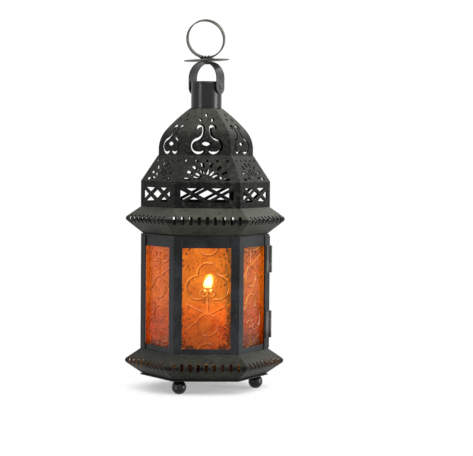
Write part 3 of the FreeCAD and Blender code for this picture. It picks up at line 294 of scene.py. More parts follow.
def iron_finish(name, body, olive, worn, rub_and_light_share, roughness, sheen, painted_candle_light=BLACK, grain=0.25):
    """Painted sheet: flat faces painted olive, partly rubbing and partly painted light, and inner faces
    glowing with painted candle light.
    """
    finish = Finish(bpy.data.materials.new(name))
    streak_place = finish.node("ShaderNodeMapping", None, {"Vector": finish.place, "Scale": STREAK_STRETCH})
    clouds = finish.cloud(*IRON_CLOUDS)
    streaks = finish.cloud(*IRON_STREAKS, streak_place)
    mottle = finish.cloud(*IRON_MOTTLE)
    speckle = finish.cloud(*IRON_SPECKLE)
    up = finish.upright(finish.normal())
    # Faces that look up are painted olive, partly rubbing and dust and partly painted light from above;
    # faces that look down get a share of it as a painted reflection of the floor.
    flat = up.fade(*FLAT_FADE) + (0 - up).fade(*FLAT_FADE) * UNDERSIDE_PAINTED_REFLECTION
    rub_and_painted_light = flat * rub_and_light_share * (RUB_AND_LIGHT_LEAST + clouds * RUB_AND_LIGHT_BY_CLOUDS)
    wear = (clouds * WEAR_BY_CLOUDS + streaks * WEAR_BY_STREAKS).fade(*WEAR_FADE)
    worn_edges = finish.edges(WEAR_RADIUS) * wear
    dullness = clouds * ROUGH_BY_CLOUDS + speckle * ROUGH_BY_SPECKLE - worn_edges * SMOOTH_BY_WEAR
    relief = speckle * RELIEF_BY_SPECKLE + clouds * RELIEF_BY_CLOUDS
    tone = finish.blend(clouds.fade(*CLOUD_FADE), IRON_SHADE, body)
    tone = finish.blend(rub_and_painted_light.at_most(1.0), tone, olive)
    tone = finish.blend(mottle.fade(*PALE_MOTTLE_FADE) * PALE_MOTTLE_SHARE, tone, olive)
    tone = finish.blend((1 - mottle).fade(*DARK_MOTTLE_FADE) * DARK_MOTTLE_SHARE, tone, IRON_SHADE)
    tone = finish.blend(streaks.fade(*STREAK_FADE) * STREAK_SHARE, tone, olive)
    tone = finish.blend(worn_edges * WEAR_SHARE, tone, worn)
    return finish.surface(
        Base_Color=tone,
        Roughness=roughness + dullness,
        Specular_IOR_Level=sheen,
        # Inner faces glow with painted candle light.
        Emission_Color=finish.blend(finish.facing_in(), BLACK, painted_candle_light),
        Emission_Strength=1.0,
        Normal=finish.bump(relief, grain, PAINT_RELIEF, FOLD_RADIUS),
    )


def dress(material, *names):
    """Give nodes of the frame a finish."""
    for name in names:
        for slot in nodes[name].material_slots:
            slot.material = material
    print(material.name, "on", len(names), "nodes")


noise_scales = [scale for scale, detail in (IRON_CLOUDS, IRON_STREAKS, IRON_MOTTLE, IRON_SPECKLE)]
print("iron is mixed from noise of scale", noise_scales)

# %% Roof and skirt
IRON_BODY = (0.0105, 0.0108, 0.0098, 1)
IRON_OLIVE = (0.080, 0.081, 0.064, 1)
IRON_WORN = (0.12, 0.117, 0.098, 1)
# Painted candle light that the skirt's inner faces glow with.
PAINTED_CANDLE_GLOW = (0.085, 0.036, 0.012, 1)
iron_colours = (IRON_BODY, IRON_OLIVE, IRON_WORN)
roof_iron = iron_finish("roof_iron", *iron_colours, rub_and_light_share=0.95, roughness=0.34, sheen=0.045)
dress(roof_iron, "eave", "gallery_roof", "cupola", "gallery_band")
skirt_iron = iron_finish("skirt_iron", *iron_colours, rub_and_light_share=0.36, roughness=0.34, sheen=0.045,
                         painted_candle_light=PAINTED_CANDLE_GLOW)
dress(skirt_iron, "base_skirt")

# %% [markdown]
# The box frame is smoother strip with a bluish charcoal coat, the hinges are painted paler as painted light
# that their outer faces catch, the cup and the tabs behind the glass are coppered, and the neck and the feet
# are glossy. Each could have a recipe of its own. They take the recipe above with other colours, so that
# the whole lantern ages in the same way.

# %% Frame strip
STRIP_BODY = (0.0125, 0.0142, 0.0165, 1)
STRIP_OLIVE = (0.034, 0.036, 0.034, 1)
STRIP_WORN = (0.10, 0.10, 0.092, 1)
strip_iron = iron_finish("strip_iron", STRIP_BODY, STRIP_OLIVE, STRIP_WORN, rub_and_light_share=0.4, roughness=0.30,
                         sheen=0.16)
posts = [name for name in nodes if name.startswith("post_")]
door_metal = [name for name in nodes if name.startswith("door_") and "glass" not in name]
dress(strip_iron, *posts, *door_metal, "lower_rail", "upper_rail", "crown_plate", "base_plate")
dress(strip_iron, "latch_button", "latch_rivet", "foot_studs")

# %% Hinges, cup, neck and feet
# The hinges are painted paler than the rest, as painted light that their outer faces catch.
HINGE_LIT_BODY = (0.085, 0.080, 0.070, 1)
HINGE_LIT_OLIVE = (0.110, 0.104, 0.090, 1)
hinge_iron = iron_finish("hinge_iron", HINGE_LIT_BODY, HINGE_LIT_OLIVE, IRON_WORN, rub_and_light_share=0.5, roughness=0.28,
                         sheen=0.3)
dress(hinge_iron, *[name for name in nodes if "_leaf_" in name], "hinge_pins")

CUP_BODY = (0.16, 0.085, 0.040, 1)
CUP_WORN = (0.34, 0.21, 0.11, 1)
cup_copper = iron_finish("cup_copper", CUP_BODY, CUP_WORN, CUP_WORN, rub_and_light_share=0.6, roughness=0.34,
                         sheen=0.4)
dress(cup_copper, "candle_cup", "glass_clips", "door_glass_clips")

GLOSS_BODY = (0.004, 0.0043, 0.0052, 1)
GLOSS_OLIVE = (0.012, 0.012, 0.012, 1)
gloss_iron = iron_finish("gloss_iron", GLOSS_BODY, GLOSS_OLIVE, STRIP_WORN, rub_and_light_share=0.3, roughness=0.15,
                         sheen=0.28, grain=0.03)
feet = [name for name in nodes if name.startswith("foot_") and name != "foot_studs"]
dress(gloss_iron, "neck", *feet)

# %% [markdown]
# The ring and rosette are olive bronze, paler than the rest, with darker grime where hands don't reach.
# Bare metal mirrors its surroundings, which paint does not, so they get a half-metallic recipe of their
# own. The bail that carries them is grey strip again.

# %% Ring bronze
BRONZE_DARK = (0.036, 0.035, 0.029, 1)
BRONZE_BODY = (0.095, 0.092, 0.074, 1)
BRONZE_PALE = (0.26, 0.25, 0.20, 1)
BRONZE_GRIME = (140, 5)
GRIME_FADE = (0.32, 0.66)
BRONZE_TOOL_MARKS = (1800, 2)
BRONZE_WEAR_RADIUS = 0.0004
BRONZE_WEAR_FADE = (0.3, 0.7)
BRONZE_WEAR_SHARE = 0.7
BRONZE_ROUGHNESS = 0.42
ROUGH_BY_GRIME = 0.2
ROUGH_BY_TOOL_MARKS = 0.1
BRONZE_GRAIN = 0.25
BRONZE_RELIEF = 0.0003
BRONZE_FOLD_RADIUS = 0.00025


def bronze_finish():
    """Old bronze: dark grime, fine tool marks and edges worn pale."""
    finish = Finish(bpy.data.materials.new("ring_bronze"))
    grime = finish.cloud(*BRONZE_GRIME)
    tool_marks = finish.cloud(*BRONZE_TOOL_MARKS)
    worn_edges = finish.edges(BRONZE_WEAR_RADIUS) * grime.fade(*BRONZE_WEAR_FADE)
    tone = finish.blend(grime.fade(*GRIME_FADE), BRONZE_DARK, BRONZE_BODY)
    return finish.surface(
        Base_Color=finish.blend(worn_edges * BRONZE_WEAR_SHARE, tone, BRONZE_PALE),
        Roughness=BRONZE_ROUGHNESS + grime * ROUGH_BY_GRIME + tool_marks * ROUGH_BY_TOOL_MARKS,
        Metallic=0.6,
        Specular_IOR_Level=0.3,
        Normal=finish.bump(tool_marks + grime, BRONZE_GRAIN, BRONZE_RELIEF, BRONZE_FOLD_RADIUS),
    )


ring_bronze = bronze_finish()
dress(ring_bronze, "hanging_ring", "rosette", "petals", "swivel_pin")

BAIL_BODY = (0.042, 0.042, 0.041, 1)
BAIL_OLIVE = (0.075, 0.075, 0.068, 1)
bail_iron = iron_finish("bail_iron", BAIL_BODY, BAIL_OLIVE, BRONZE_PALE, rub_and_light_share=0.5, roughness=0.26,
                        sheen=0.35)
dress(bail_iron, "bail", "bail_rivets")

# %% [markdown]
# Pressed amber glass. A hot sheet is rolled against a patterned roller, so the scrolls stand up out of
# the outside and the margins are hammered. A bump texture could suggest this, but the pattern is real
# relief here, because it bends what is seen through the pane. Its height is worked out from a few rings
# and lines: a trefoil on a stem, a heart of two small rings, crossed lines and a ring below. `u` runs
# across the pane from its middle and `v` up from the middle of the pattern.

# %% Raised lines of the pattern
MOTIF_PITCH = 0.0596
MOTIF_CENTRE_Z = 0.079
Lobe = namedtuple("Lobe", "u v radius")
UPPER_LOBE = Lobe(0.0, 0.0108, 0.0074)
SIDE_LOBE = Lobe(0.0070, 0.0, 0.0088)
SIDE_LOBE_START_U = 0.00385
LOWER_LOBE = Lobe(0.0, -0.0277, 0.0080)
HEART_LOBE = Lobe(0.0027, -0.0040, 0.0027)
CROSS_V = -0.0201
RAY_REACH = 0.0150
STEM = ((0, CROSS_V), (0, HEART_LOBE.v - HEART_LOBE.radius))
UPPER_RAY = ((0, CROSS_V), (RAY_REACH, CROSS_V + RAY_REACH / 2))
LOWER_RAY = ((0.004, CROSS_V - 0.001), (RAY_REACH, CROSS_V - RAY_REACH * 3 / 4))
RIDGE_WIDTH = 0.00055


def centre_distance(u, v, lobe):
    return math.hypot(u - lobe.u, v - lobe.v)


def ring_distance(u, v, lobe):
    return abs(centre_distance(u, v, lobe) - lobe.radius)


def inside(u, v, lobe):
    return centre_distance(u, v, lobe) < lobe.radius


def line_distance(u, v, start, end):
    """Distance to a straight line between two points."""
    run = Vector(end) - Vector(start)
    reach = Vector((u, v)) - Vector(start)
    share = max(0.0, min(1.0, reach.dot(run) / run.length_squared))
    return (reach - run * share).length


def motif_distance(u, v):
    """Distance to the nearest raised line of the motif, whose left half mirrors the right."""
    u = abs(u)
    distances = [ring_distance(u, v, LOWER_LOBE), ring_distance(u, v, HEART_LOBE)]
    if not inside(u, v, SIDE_LOBE):
        distances.append(ring_distance(u, v, UPPER_LOBE))
    if not inside(u, v, UPPER_LOBE) and u > SIDE_LOBE_START_U:
        distances.append(ring_distance(u, v, SIDE_LOBE))
    for start, end in (STEM, UPPER_RAY, LOWER_RAY):
        distances.append(line_distance(u, v, start, end))
    return min(distances)


def ridge_at(u, z, phase):
    """1 on a raised line of the pattern, which repeats up the pane, and 0 away from it."""
    offset = (z - MOTIF_CENTRE_Z - phase + MOTIF_PITCH / 2) % MOTIF_PITCH - MOTIF_PITCH / 2
    gap = min(motif_distance(u, offset + shift) for shift in (-MOTIF_PITCH, 0, MOTIF_PITCH))
    return math.exp(-(gap / RIDGE_WIDTH) ** 2)


print("the pattern repeats every", MOTIF_PITCH, "m")

# %% [markdown]
# The hammered pits between the lines are the marks of a worn roller. They could be modelled one by one.
# Cells of Voronoi noise place them unevenly in one line of code, and a second noise decides which cells
# hold a pit, so that they crowd together and deepen towards the margins.

# %% Hammered pits
PITS_ACROSS = 480
PITS_UP = 330
PIT_RADIUS = 0.42
PIT_THRESHOLD = -0.05
PIT_MARGIN_GAIN = 0.3
PIT_FAINTEST = 0.4
PIT_COVER_GAIN = 2
PIT_SEED_STEP = 9.1
PIT_CHOICE_SCALE = 7.3
MARGIN_WIDTH = 0.016


def pit_at(u, z, seed, cover):
    """1 in the middle of a pit and 0 between pits. The radius of a pit is a share of a cell."""
    distances, points = noise.voronoi(Vector((u * PITS_ACROSS, z * PITS_UP, seed * PIT_SEED_STEP)))
    margin = min(1.0, abs(u) / MARGIN_WIDTH) ** 2
    if noise.noise(points[0] * PIT_CHOICE_SCALE) > PIT_THRESHOLD + cover + margin * PIT_MARGIN_GAIN:
        return 0.0
    strength = min(1.0, PIT_FAINTEST + cover * PIT_COVER_GAIN + margin)
    return math.exp(-(distances[0] / PIT_RADIUS) ** 2) * strength


print("pits are about", round(1 / PITS_ACROSS, 4), "m apart")

# %% [markdown]
# Finished pieces. Every modelled piece ends in the same way: its faces are turned outwards, it gets its
# finish, and it is told which body of the lantern it rides on and which nodes of the frame it stands for.

# %% Helpers for modelled pieces
def new_piece(name, mesh, material, body, slot, *replaced):
    """Turn a bmesh into a finished piece that rides on a body."""
    bmesh.ops.recalc_face_normals(mesh, faces=mesh.faces)
    data = bpy.data.meshes.new(name)
    mesh.to_mesh(data)
    mesh.free()
    data.materials.append(material)
    piece = add_object(name, data)
    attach(piece, body)
    if replaced:
        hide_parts(*replaced)
    print(name, "has", len(data.polygons), "faces")
    return piece


def shade_smooth(piece, sharp_angle):
    """Shade a piece smooth, but for edges that fold by more than an angle in degrees."""
    for polygon in piece.data.polygons:
        polygon.use_smooth = True
    piece.data.set_sharp_from_angle(angle=math.radians(sharp_angle))


def vertices_of(geometry):
    """The vertices among what an operator gives back."""
    return [item for item in geometry if isinstance(item, bmesh.types.BMVert)]


def side_box(node, angle):
    """Lowest and highest corner of a node in the frame of the side that faces an angle: across, out, up."""
    turn = Matrix.Rotation(-QUARTER_TURN - math.radians(angle), 3, "Z")
    points = [turn @ vertex.co for vertex in nodes[node].data.vertices]
    low = Vector([min(point[axis] for point in points) for axis in range(3)])
    high = Vector([max(point[axis] for point in points) for axis in range(3)])
    return low, high


FRONT_ANGLE = 270
pane_low, pane_high = side_box("glass_front", FRONT_ANGLE)
print("front pane:", round(pane_high.x - pane_low.x, 4), "x", round(pane_high.z - pane_low.z, 4), "m")

# %% [markdown]
# The panes. Each takes its size from the node that it stands for, measured in that side's own frame. One
# pane could be copied round the box, but no two pressed panes are cut from the same place of the sheet,
# so each has its own pattern height and its own pits. A fine flat grid is raised by the relief, gets
# walls and a flat back, and is stood up on its side of the box. Three attributes of its points, which way
# the relief leans, how steep it is and where it is pitted, are kept for the colour of the glass.

# %% Pressed panes
GRID_STEP = 0.00045
PANE_BASE_DEPTH = 0.0011
RIDGE_HEIGHT = 0.00060
PIT_DEPTH = 0.00042
WAVE_HEIGHT = 0.00012
WAVES_ACROSS = 90
WAVES_UP = 60
LEAN_UP = 0.8
LEAN_LEFT = 0.6
PANE_SHARP_ANGLE = 60
Pane = namedtuple("Pane", "node body angle phase slide seed cover glass")


def pane_grid(low, high):
    """A flat grid as wide and as high as a pane, lying on its back."""
    width = high.x - low.x
    height = high.z - low.z
    across = round(width / GRID_STEP)
    up = round(height / GRID_STEP)
    mesh = bmesh.new()
    bmesh.ops.create_grid(mesh, x_segments=across, y_segments=up, size=0.5)
    bmesh.ops.scale(mesh, vec=(width, height, 1), verts=mesh.verts)
    bmesh.ops.translate(mesh, vec=(0, (low.z + high.z) / 2, 0), verts=mesh.verts)
    return mesh


def press_pattern(mesh, pane, base):
    """Raise the relief from its base, all but the rim, and keep what the colour of the glass needs."""
    lean = mesh.verts.layers.float.new("lean")
    steep = mesh.verts.layers.float.new("steep")
    pitted = mesh.verts.layers.float.new("pitted")
    middle = [vertex for vertex in mesh.verts if not vertex.is_boundary]
    for vertex in mesh.verts:
        vertex.co.z = base
    for vertex in middle:
        u, z, level = vertex.co
        ridge = ridge_at(u - pane.slide, z, pane.phase)
        wave = noise.noise(Vector((u * WAVES_ACROSS, z * WAVES_UP, pane.seed)))
        vertex[pitted] = pit_at(u, z, pane.seed, pane.cover) * (1 - ridge)
        vertex.co.z = level + RIDGE_HEIGHT * ridge - PIT_DEPTH * vertex[pitted] + WAVE_HEIGHT * wave
    mesh.normal_update()
    for vertex in middle:
        # lean points towards light from above and the left; the glass paints shade and highlights from it.
        vertex[lean] = vertex.normal.y * LEAN_UP - vertex.normal.x * LEAN_LEFT
        vertex[steep] = 1 - vertex.normal.z


def open_edges(mesh):
    """The edges that have a face on one side only."""
    return [edge for edge in mesh.edges if edge.is_boundary]


def pressed_pane(name, pane):
    """Press a pane, close it and stand it up in its side of the box."""
    low, high = side_box(pane.node, pane.angle)
    mesh = pane_grid(low, high)
    press_pattern(mesh, pane, -low.y - PANE_BASE_DEPTH)
    walls = bmesh.ops.extrude_edge_only(mesh, edges=open_edges(mesh))["geom"]
    for vertex in vertices_of(walls):
        vertex.co.z = -high.y
    bmesh.ops.contextual_create(mesh, geom=open_edges(mesh))
    stand_up = Matrix.Rotation(QUARTER_TURN, 3, "X")
    face_out = Matrix.Rotation(QUARTER_TURN + math.radians(pane.angle), 3, "Z")
    bmesh.ops.rotate(mesh, matrix=face_out @ stand_up, verts=mesh.verts)
    piece = new_piece(name, mesh, pane.glass, pane.body, "amber_glass", pane.node)
    shade_smooth(piece, PANE_SHARP_ANGLE)


print("panes are raised on a grid of", GRID_STEP, "m")

# %% [markdown]
# The colour of the glass. Amber glass lets orange through and stops blue, so light that crosses the thick
# parts turns red. A candle burns behind it: the glow is strongest near the flame and fades with distance.
# A lamp inside could make it, but a small bright lamp behind glass gives a grainy picture, so the glow is
# written into Emission Color from the distance to the flame and is the same from every side. The
# attributes of the relief paint shade on one side of each scroll and a highlight on the other, where thick
# glass would bend the light, and painted shade darkens the pits.

# %% Amber glass
FLAME_CENTRE = Vector((0.002, 0, 0.0806))
GLASS_PAINTED_SHADE = (0.10, 0.016, 0.004, 1)
GLOW_NEAR = (0.13, 0.058, 0.005, 1)
GLOW_FAR = (0.050, 0.010, 0.001, 1)
GLOW_BRIGHT = (0.42, 0.20, 0.03, 1)
GLOW_REACH = (0.036, 0.062)
GLOW_RISE = (0.052, 0.074)
GLOW_BELOW = 0.35
GLASS_CLOUDS = (120, 4)
GLASS_FLECKS = (700, 3)
DEPTH_BY_CLOUDS = 0.6
DEPTH_BY_FLECKS = 0.5
DEPTH_FADE = (0.42, 0.72)
STEEP_FADE = (0.004, 0.12)
FLANK_START = 0.25
FLANK_BY_LEAN = 2.2
FLANK_SHARE = 0.8
PIT_FADE = (0.2, 0.8)
PIT_SHADE_LEAST = 0.4
PIT_SHADE_MOST = 0.9
PIT_GLOW_LOSS = 0.7
BRIGHT_FADE = (0.08, 0.45)
BRIGHT_LEAST = 0.25
BRIGHT_BY_LIGHT = 0.6
GLASS_ROUGHNESS = 0.10
ROUGH_BY_GLASS_CLOUDS = 0.14
GLASS_GRAIN = 0.15
GLASS_RELIEF = 0.0003


def glass_finish(name, clear, deep):
    """Tinted glass lit from behind by the flame, with painted shade on flanks and pits and painted
    highlights.
    """
    finish = Finish(bpy.data.materials.new(name))
    clouds = finish.cloud(*GLASS_CLOUDS)
    flecks = finish.cloud(*GLASS_FLECKS)
    lean = finish.attribute("lean")
    pitted = finish.attribute("pitted")
    near = 1 - finish.measure("DISTANCE", finish.place, FLAME_CENTRE).fade(*GLOW_REACH)
    lit = near * (GLOW_BELOW + finish.upright(finish.place).fade(*GLOW_RISE) * (1 - GLOW_BELOW))
    depth = (clouds * DEPTH_BY_CLOUDS + flecks * DEPTH_BY_FLECKS).fade(*DEPTH_FADE)
    # Painted shade on the side of a scroll that leans away from the light, a painted highlight on the side
    # that leans towards it, and painted shade in the pits.
    away_from_light = (FLANK_START - lean * FLANK_BY_LEAN).fade(0.0, 1.0)
    flank_shade = finish.attribute("steep").fade(*STEEP_FADE) * away_from_light * FLANK_SHARE
    pit_shade = pitted.fade(*PIT_FADE) * (PIT_SHADE_LEAST + flecks).at_most(PIT_SHADE_MOST)
    bright = lean.fade(*BRIGHT_FADE) * (BRIGHT_LEAST + lit * BRIGHT_BY_LIGHT)
    tint = finish.blend(depth, clear, deep)
    tint = finish.blend(flank_shade, tint, GLASS_PAINTED_SHADE)
    tint = finish.blend(pit_shade, tint, GLASS_PAINTED_SHADE)
    glow = finish.blend(lit, GLOW_FAR, GLOW_NEAR)
    glow = finish.blend(flank_shade.at_least(pitted * PIT_GLOW_LOSS), glow, BLACK)
    glow = finish.blend(bright, glow, GLOW_BRIGHT)
    return finish.surface(
        Base_Color=tint,
        Roughness=GLASS_ROUGHNESS + clouds * ROUGH_BY_GLASS_CLOUDS,
        Transmission_Weight=1.0,
        IOR=1.25,
        Specular_IOR_Level=0.1,
        Emission_Color=glow,
        Emission_Strength=1.0,
        Normal=finish.bump(flecks, GLASS_GRAIN, GLASS_RELIEF),
    )


amber = glass_finish("amber_glass", clear=(0.76, 0.385, 0.090, 1), deep=(0.50, 0.125, 0.016, 1))
# A redder copy of the amber: painted shade for the side panes, which are seen at a slant and through more
# glass.
shaded_amber = glass_finish("red_amber_glass", clear=(0.70, 0.230, 0.032, 1), deep=(0.46, 0.080, 0.012, 1))
print("glass finishes:", amber.name, "and", shaded_amber.name)

# %% [markdown]
# Six panes. The front and back ones are clear amber with faint pits, and the others are more pitted and get
# a redder copy of the glass, painted shade for panes seen at a slant. Each row gives the node and its body,
# the angle that the side faces, how far the pattern is lifted and moved sideways, a seed for its noise, how
# much more of it is pitted, and its glass.

# %% Panes all round
PLAIN = 0.0
PITTED = 0.25
PANES = {
    "pressed_back": Pane("glass_back", "lantern", 90, 0.012, 0.0, 0, PLAIN, amber),
    "pressed_back_left": Pane("glass_back_left", "lantern", 150, 0.041, 0.001, 1, PITTED, shaded_amber),
    "pressed_front_left": Pane("glass_front_left", "lantern", 210, 0.027, 0.0, 2, PITTED, shaded_amber),
    "pressed_front": Pane("glass_front", "lantern", FRONT_ANGLE, 0.0, 0.001, 3, PLAIN, amber),
    "pressed_front_right": Pane("glass_front_right", "lantern", 330, 0.035, -0.001, 4, PITTED, shaded_amber),
    "pressed_door": Pane("door_glass", "door", 30, 0.020, 0.0, 7, PITTED, shaded_amber),
}
for name, pane in PANES.items():
    pressed_pane(name, pane)

# %% [markdown]
# The candle: a squat ivory pillar with a soft shoulder, a hollow left by an earlier burn and uneven sides
# where wax has run. It could be a cylinder with bevelled edges. A profile spun round the axis gives the
# hollow as well, and drawing points in by noise gives the runs. Wax lets light in, so the top glows and
# the foot stays pale: the glow and the warmer colour of the top are painted candle light that rises with
# height.

# %% Wax
WAX_IVORY = (0.86, 0.76, 0.56, 1)
WAX_FLAME_LIT = (0.95, 0.62, 0.24, 1)
WAX_GLOW = (0.90, 0.42, 0.10, 1)
WAX_GLOW_RISE = (0.040, 0.0645)
WAX_GLOW_STRENGTH = 0.30
FLAME_LIGHT_LEAST = 0.6
WAX_CLOUDS = (160, 4)
WAX_ROUGHNESS = 0.32
ROUGH_BY_WAX_CLOUDS = 0.2
WAX_LIGHT_REACH = (0.006, 0.003, 0.001)
WAX_GRAIN = 0.2
WAX_RELIEF = 0.0006


def wax_finish():
    """Ivory wax with painted candle light: warmer and glowing towards the flame."""
    finish = Finish(bpy.data.materials.new("candle_wax"))
    clouds = finish.cloud(*WAX_CLOUDS)
    # Painted candle light: the wax turns warmer and glows towards its top.
    near_flame = finish.upright(finish.place).fade(*WAX_GLOW_RISE)
    painted_flame_light = near_flame * (FLAME_LIGHT_LEAST + clouds * (1 - FLAME_LIGHT_LEAST))
    return finish.surface(
        Base_Color=finish.blend(painted_flame_light, WAX_IVORY, WAX_FLAME_LIT),
        Roughness=WAX_ROUGHNESS + clouds * ROUGH_BY_WAX_CLOUDS,
        Subsurface_Weight=0.4,
        Subsurface_Radius=WAX_LIGHT_REACH,
        Emission_Color=finish.blend(near_flame, BLACK, WAX_GLOW),
        Emission_Strength=WAX_GLOW_STRENGTH,
        Normal=finish.bump(clouds, WAX_GRAIN, WAX_RELIEF),
    )


wax = wax_finish()
print("wax glows from", WAX_GLOW_RISE[0], "m up")

# %% Candle
CANDLE_FOOT = ((0.0, 0.0), (0.97, 0.0), (0.985, 0.0008), (0.985, 0.012), (0.98, 0.03))
CANDLE_SHOULDER = ((0.985, 0.006), (0.97, 0.0015), (0.93, 0.0))
CANDLE_HOLLOW = ((0.88, 0.0006), (0.7, 0.0017), (0.3, 0.002), (0.0, 0.002))
CANDLE_STEPS = 72
CANDLE_CUTS = 3
CANDLE_SHARP_ANGLE = 60
RUN_DEPTH = 0.0005
RUNS_ROUND = 3
RUNS_UP = 14
CANDLE_SIDE_SHARE = 0.9
MERGE_DISTANCE = 1e-6


def spun(profile, steps, cuts=0):
    """The skin that an outline of (radius, height) points leaves when it is spun round the axis."""
    mesh = bmesh.new()
    points = [mesh.verts.new((radius, 0, height)) for radius, height in profile]
    for first, second in zip(points, points[1:]):
        mesh.edges.new((first, second))
    if cuts:
        bmesh.ops.subdivide_edges(mesh, edges=mesh.edges, cuts=cuts)
    bmesh.ops.spin(mesh, geom=mesh.verts[:] + mesh.edges[:], cent=(0, 0, 0), axis=(0, 0, 1),
                   angle=4 * QUARTER_TURN, steps=steps, use_merge=True)
    bmesh.ops.remove_doubles(mesh, verts=mesh.verts, dist=MERGE_DISTANCE)
    return mesh


def candle(name, node):
    """A pillar as large as its node. Its outline holds shares of the radius and metres from each end."""
    low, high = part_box(node)
    radius = high.x
    profile = [(radius * share, low.z + rise) for share, rise in CANDLE_FOOT]
    profile += [(radius * share, high.z - drop) for share, drop in CANDLE_SHOULDER + CANDLE_HOLLOW]
    mesh = spun(profile, CANDLE_STEPS, CANDLE_CUTS)
    for vertex in mesh.verts:
        out = Vector((vertex.co.x, vertex.co.y, 0))
        if out.length > radius * CANDLE_SIDE_SHARE:
            round_place = out.normalized() * RUNS_ROUND
            run = noise.noise(round_place + Vector((0, 0, vertex.co.z * RUNS_UP)))
            vertex.co -= out.normalized() * RUN_DEPTH * (0.5 - 0.5 * run)
    piece = new_piece(name, mesh, wax, "lantern", "candle_wax", node)
    shade_smooth(piece, CANDLE_SHARP_ANGLE)


candle("wax_pillar", "candle_wax")

# %% [markdown]
# The wick is a braided cotton cord that curls over and chars as it burns. A bevelled curve could follow
# the bend. Growing a small disc upwards step by step needs no curve: each step leans a little more and
# twists, as the braid does.

# %% Wick
WICK_COTTON = (0.55, 0.47, 0.34, 1)
WICK_CHAR = (0.012, 0.010, 0.009, 1)
WICK_CHAR_RISE = (0.064, 0.067)
BRAID_SCALE = 700.0
BRAID_UNEVENNESS = 2.0
BRAID_GRAIN = 0.6
BRAID_RELIEF = 0.0002
WICK_ROUGHNESS = 0.75
ROUGH_BY_BRAID = 0.2
WICK_SLIMNESS = 0.9
WICK_SIDES = 12
WICK_STEPS = 10
WICK_CURL = 0.0009
WICK_SHRINK = 0.995
WICK_TWIST = Matrix.Rotation(math.radians(15), 3, "Z")
WICK_SHARP_ANGLE = 50


def wick_finish():
    """Braided cotton, charred at the top."""
    finish = Finish(bpy.data.materials.new("wick_cotton"))
    braid_inputs = {"Vector": finish.place, "Scale": BRAID_SCALE, "Distortion": BRAID_UNEVENNESS}
    braid = finish.node("ShaderNodeTexWave", {"bands_direction": "DIAGONAL"}, braid_inputs, "Fac")
    charred = finish.upright(finish.place).fade(*WICK_CHAR_RISE)
    return finish.surface(
        Base_Color=finish.blend(charred, WICK_COTTON, WICK_CHAR),
        Roughness=WICK_ROUGHNESS + braid * ROUGH_BY_BRAID,
        Normal=finish.bump(braid, BRAID_GRAIN, BRAID_RELIEF),
    )


def wick(name, node):
    """A cord as long as its node, which starts to lean over halfway up."""
    low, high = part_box(node)
    climb = (high.z - low.z) / WICK_STEPS * WICK_SHRINK
    mesh = bmesh.new()
    ring = bmesh.ops.create_circle(mesh, cap_ends=True, segments=WICK_SIDES, radius=high.x * WICK_SLIMNESS)
    bmesh.ops.translate(mesh, vec=(0, 0, low.z), verts=ring["verts"])
    top = mesh.faces[:]
    for step in range(WICK_STEPS):
        grown = bmesh.ops.extrude_face_region(mesh, geom=top)["geom"]
        rim = vertices_of(grown)
        top = [item for item in grown if isinstance(item, bmesh.types.BMFace)]
        lean = max(0.0, step / WICK_STEPS - 0.5)
        bmesh.ops.translate(mesh, vec=(lean * WICK_CURL, 0, climb), verts=rim)
        middle = sum((vertex.co for vertex in rim), Vector()) / len(rim)
        bmesh.ops.rotate(mesh, cent=middle, matrix=WICK_TWIST, verts=rim)
    piece = new_piece(name, mesh, wick_finish(), "lantern", "wick_cotton", node)
    shade_smooth(piece, WICK_SHARP_ANGLE)


wick("burnt_wick", "candle_wick")

# %% [markdown]
# The flame: a drop-shaped veil, blue at its foot and white-yellow in its belly. A volume would be truer,
# but it is slow and a model file can't hold it. So it is a spun skin with a glowing finish, whose
# tip leans over.

# %% Flame
FLAME_FOOT_Z = 0.0740
FLAME_TIP_Z = 0.0866
FLAME_RADIUS = 0.0030
FLAME_FULLNESS = 2.45
FLAME_FOOT_X = 0.0012
FLAME_LEAN = 0.0030
FLAME_POINTS = 14
FLAME_STEPS = 32
FLAME_SHARP_ANGLE = 80
FLAME_BASE = (0.9, 0.6, 0.3, 1)
FLAME_BLUE = (0.004, 0.006, 0.020, 1)
FLAME_WHITE = (1.0, 0.90, 0.68, 1)
FLAME_TIP = (1.0, 0.70, 0.36, 1)
FLAME_WHITE_RISE = (FLAME_FOOT_Z + 0.002, FLAME_FOOT_Z + 0.0055)
FLAME_TIP_RISE = (FLAME_TIP_Z - 0.006, FLAME_TIP_Z)
FLAME_STRENGTH = 30.0


def flame_finish():
    """A glow that changes colour with height."""
    finish = Finish(bpy.data.materials.new("candle_flame"))
    height = finish.upright(finish.place)
    colour = finish.blend(height.fade(*FLAME_WHITE_RISE), FLAME_BLUE, FLAME_WHITE)
    colour = finish.blend(height.fade(*FLAME_TIP_RISE), colour, FLAME_TIP)
    return finish.surface(Base_Color=FLAME_BASE, Roughness=0.9, Emission_Color=colour,
                          Emission_Strength=FLAME_STRENGTH)


def flame(name):
    """A drop that is widest a third of the way up and leans over towards its tip."""
    height = FLAME_TIP_Z - FLAME_FOOT_Z
    profile = []
    for number in range(FLAME_POINTS + 1):
        share = number / FLAME_POINTS
        width = FLAME_RADIUS * FLAME_FULLNESS * math.sqrt(share) * (1 - share)
        profile.append((width, FLAME_FOOT_Z + height * share))
    mesh = spun(profile, FLAME_STEPS)
    for vertex in mesh.verts:
        vertex.co.x += FLAME_FOOT_X + FLAME_LEAN * (vertex.co.z - FLAME_FOOT_Z) / height
    piece = new_piece(name, mesh, flame_finish(), "lantern", "candle_wax")
    shade_smooth(piece, FLAME_SHARP_ANGLE)


flame("candle_flame")

# %% [markdown]
# Small tabs are bent up out of the rosette in front of the ring and behind it, and hold the ring's foot.
# They are cut with snips, so their tips are sharp and uneven. One tab could be copied round, but noise
# gives each its own height: a five-cornered outline is drawn for each and extruded to the thickness of
# the sheet.

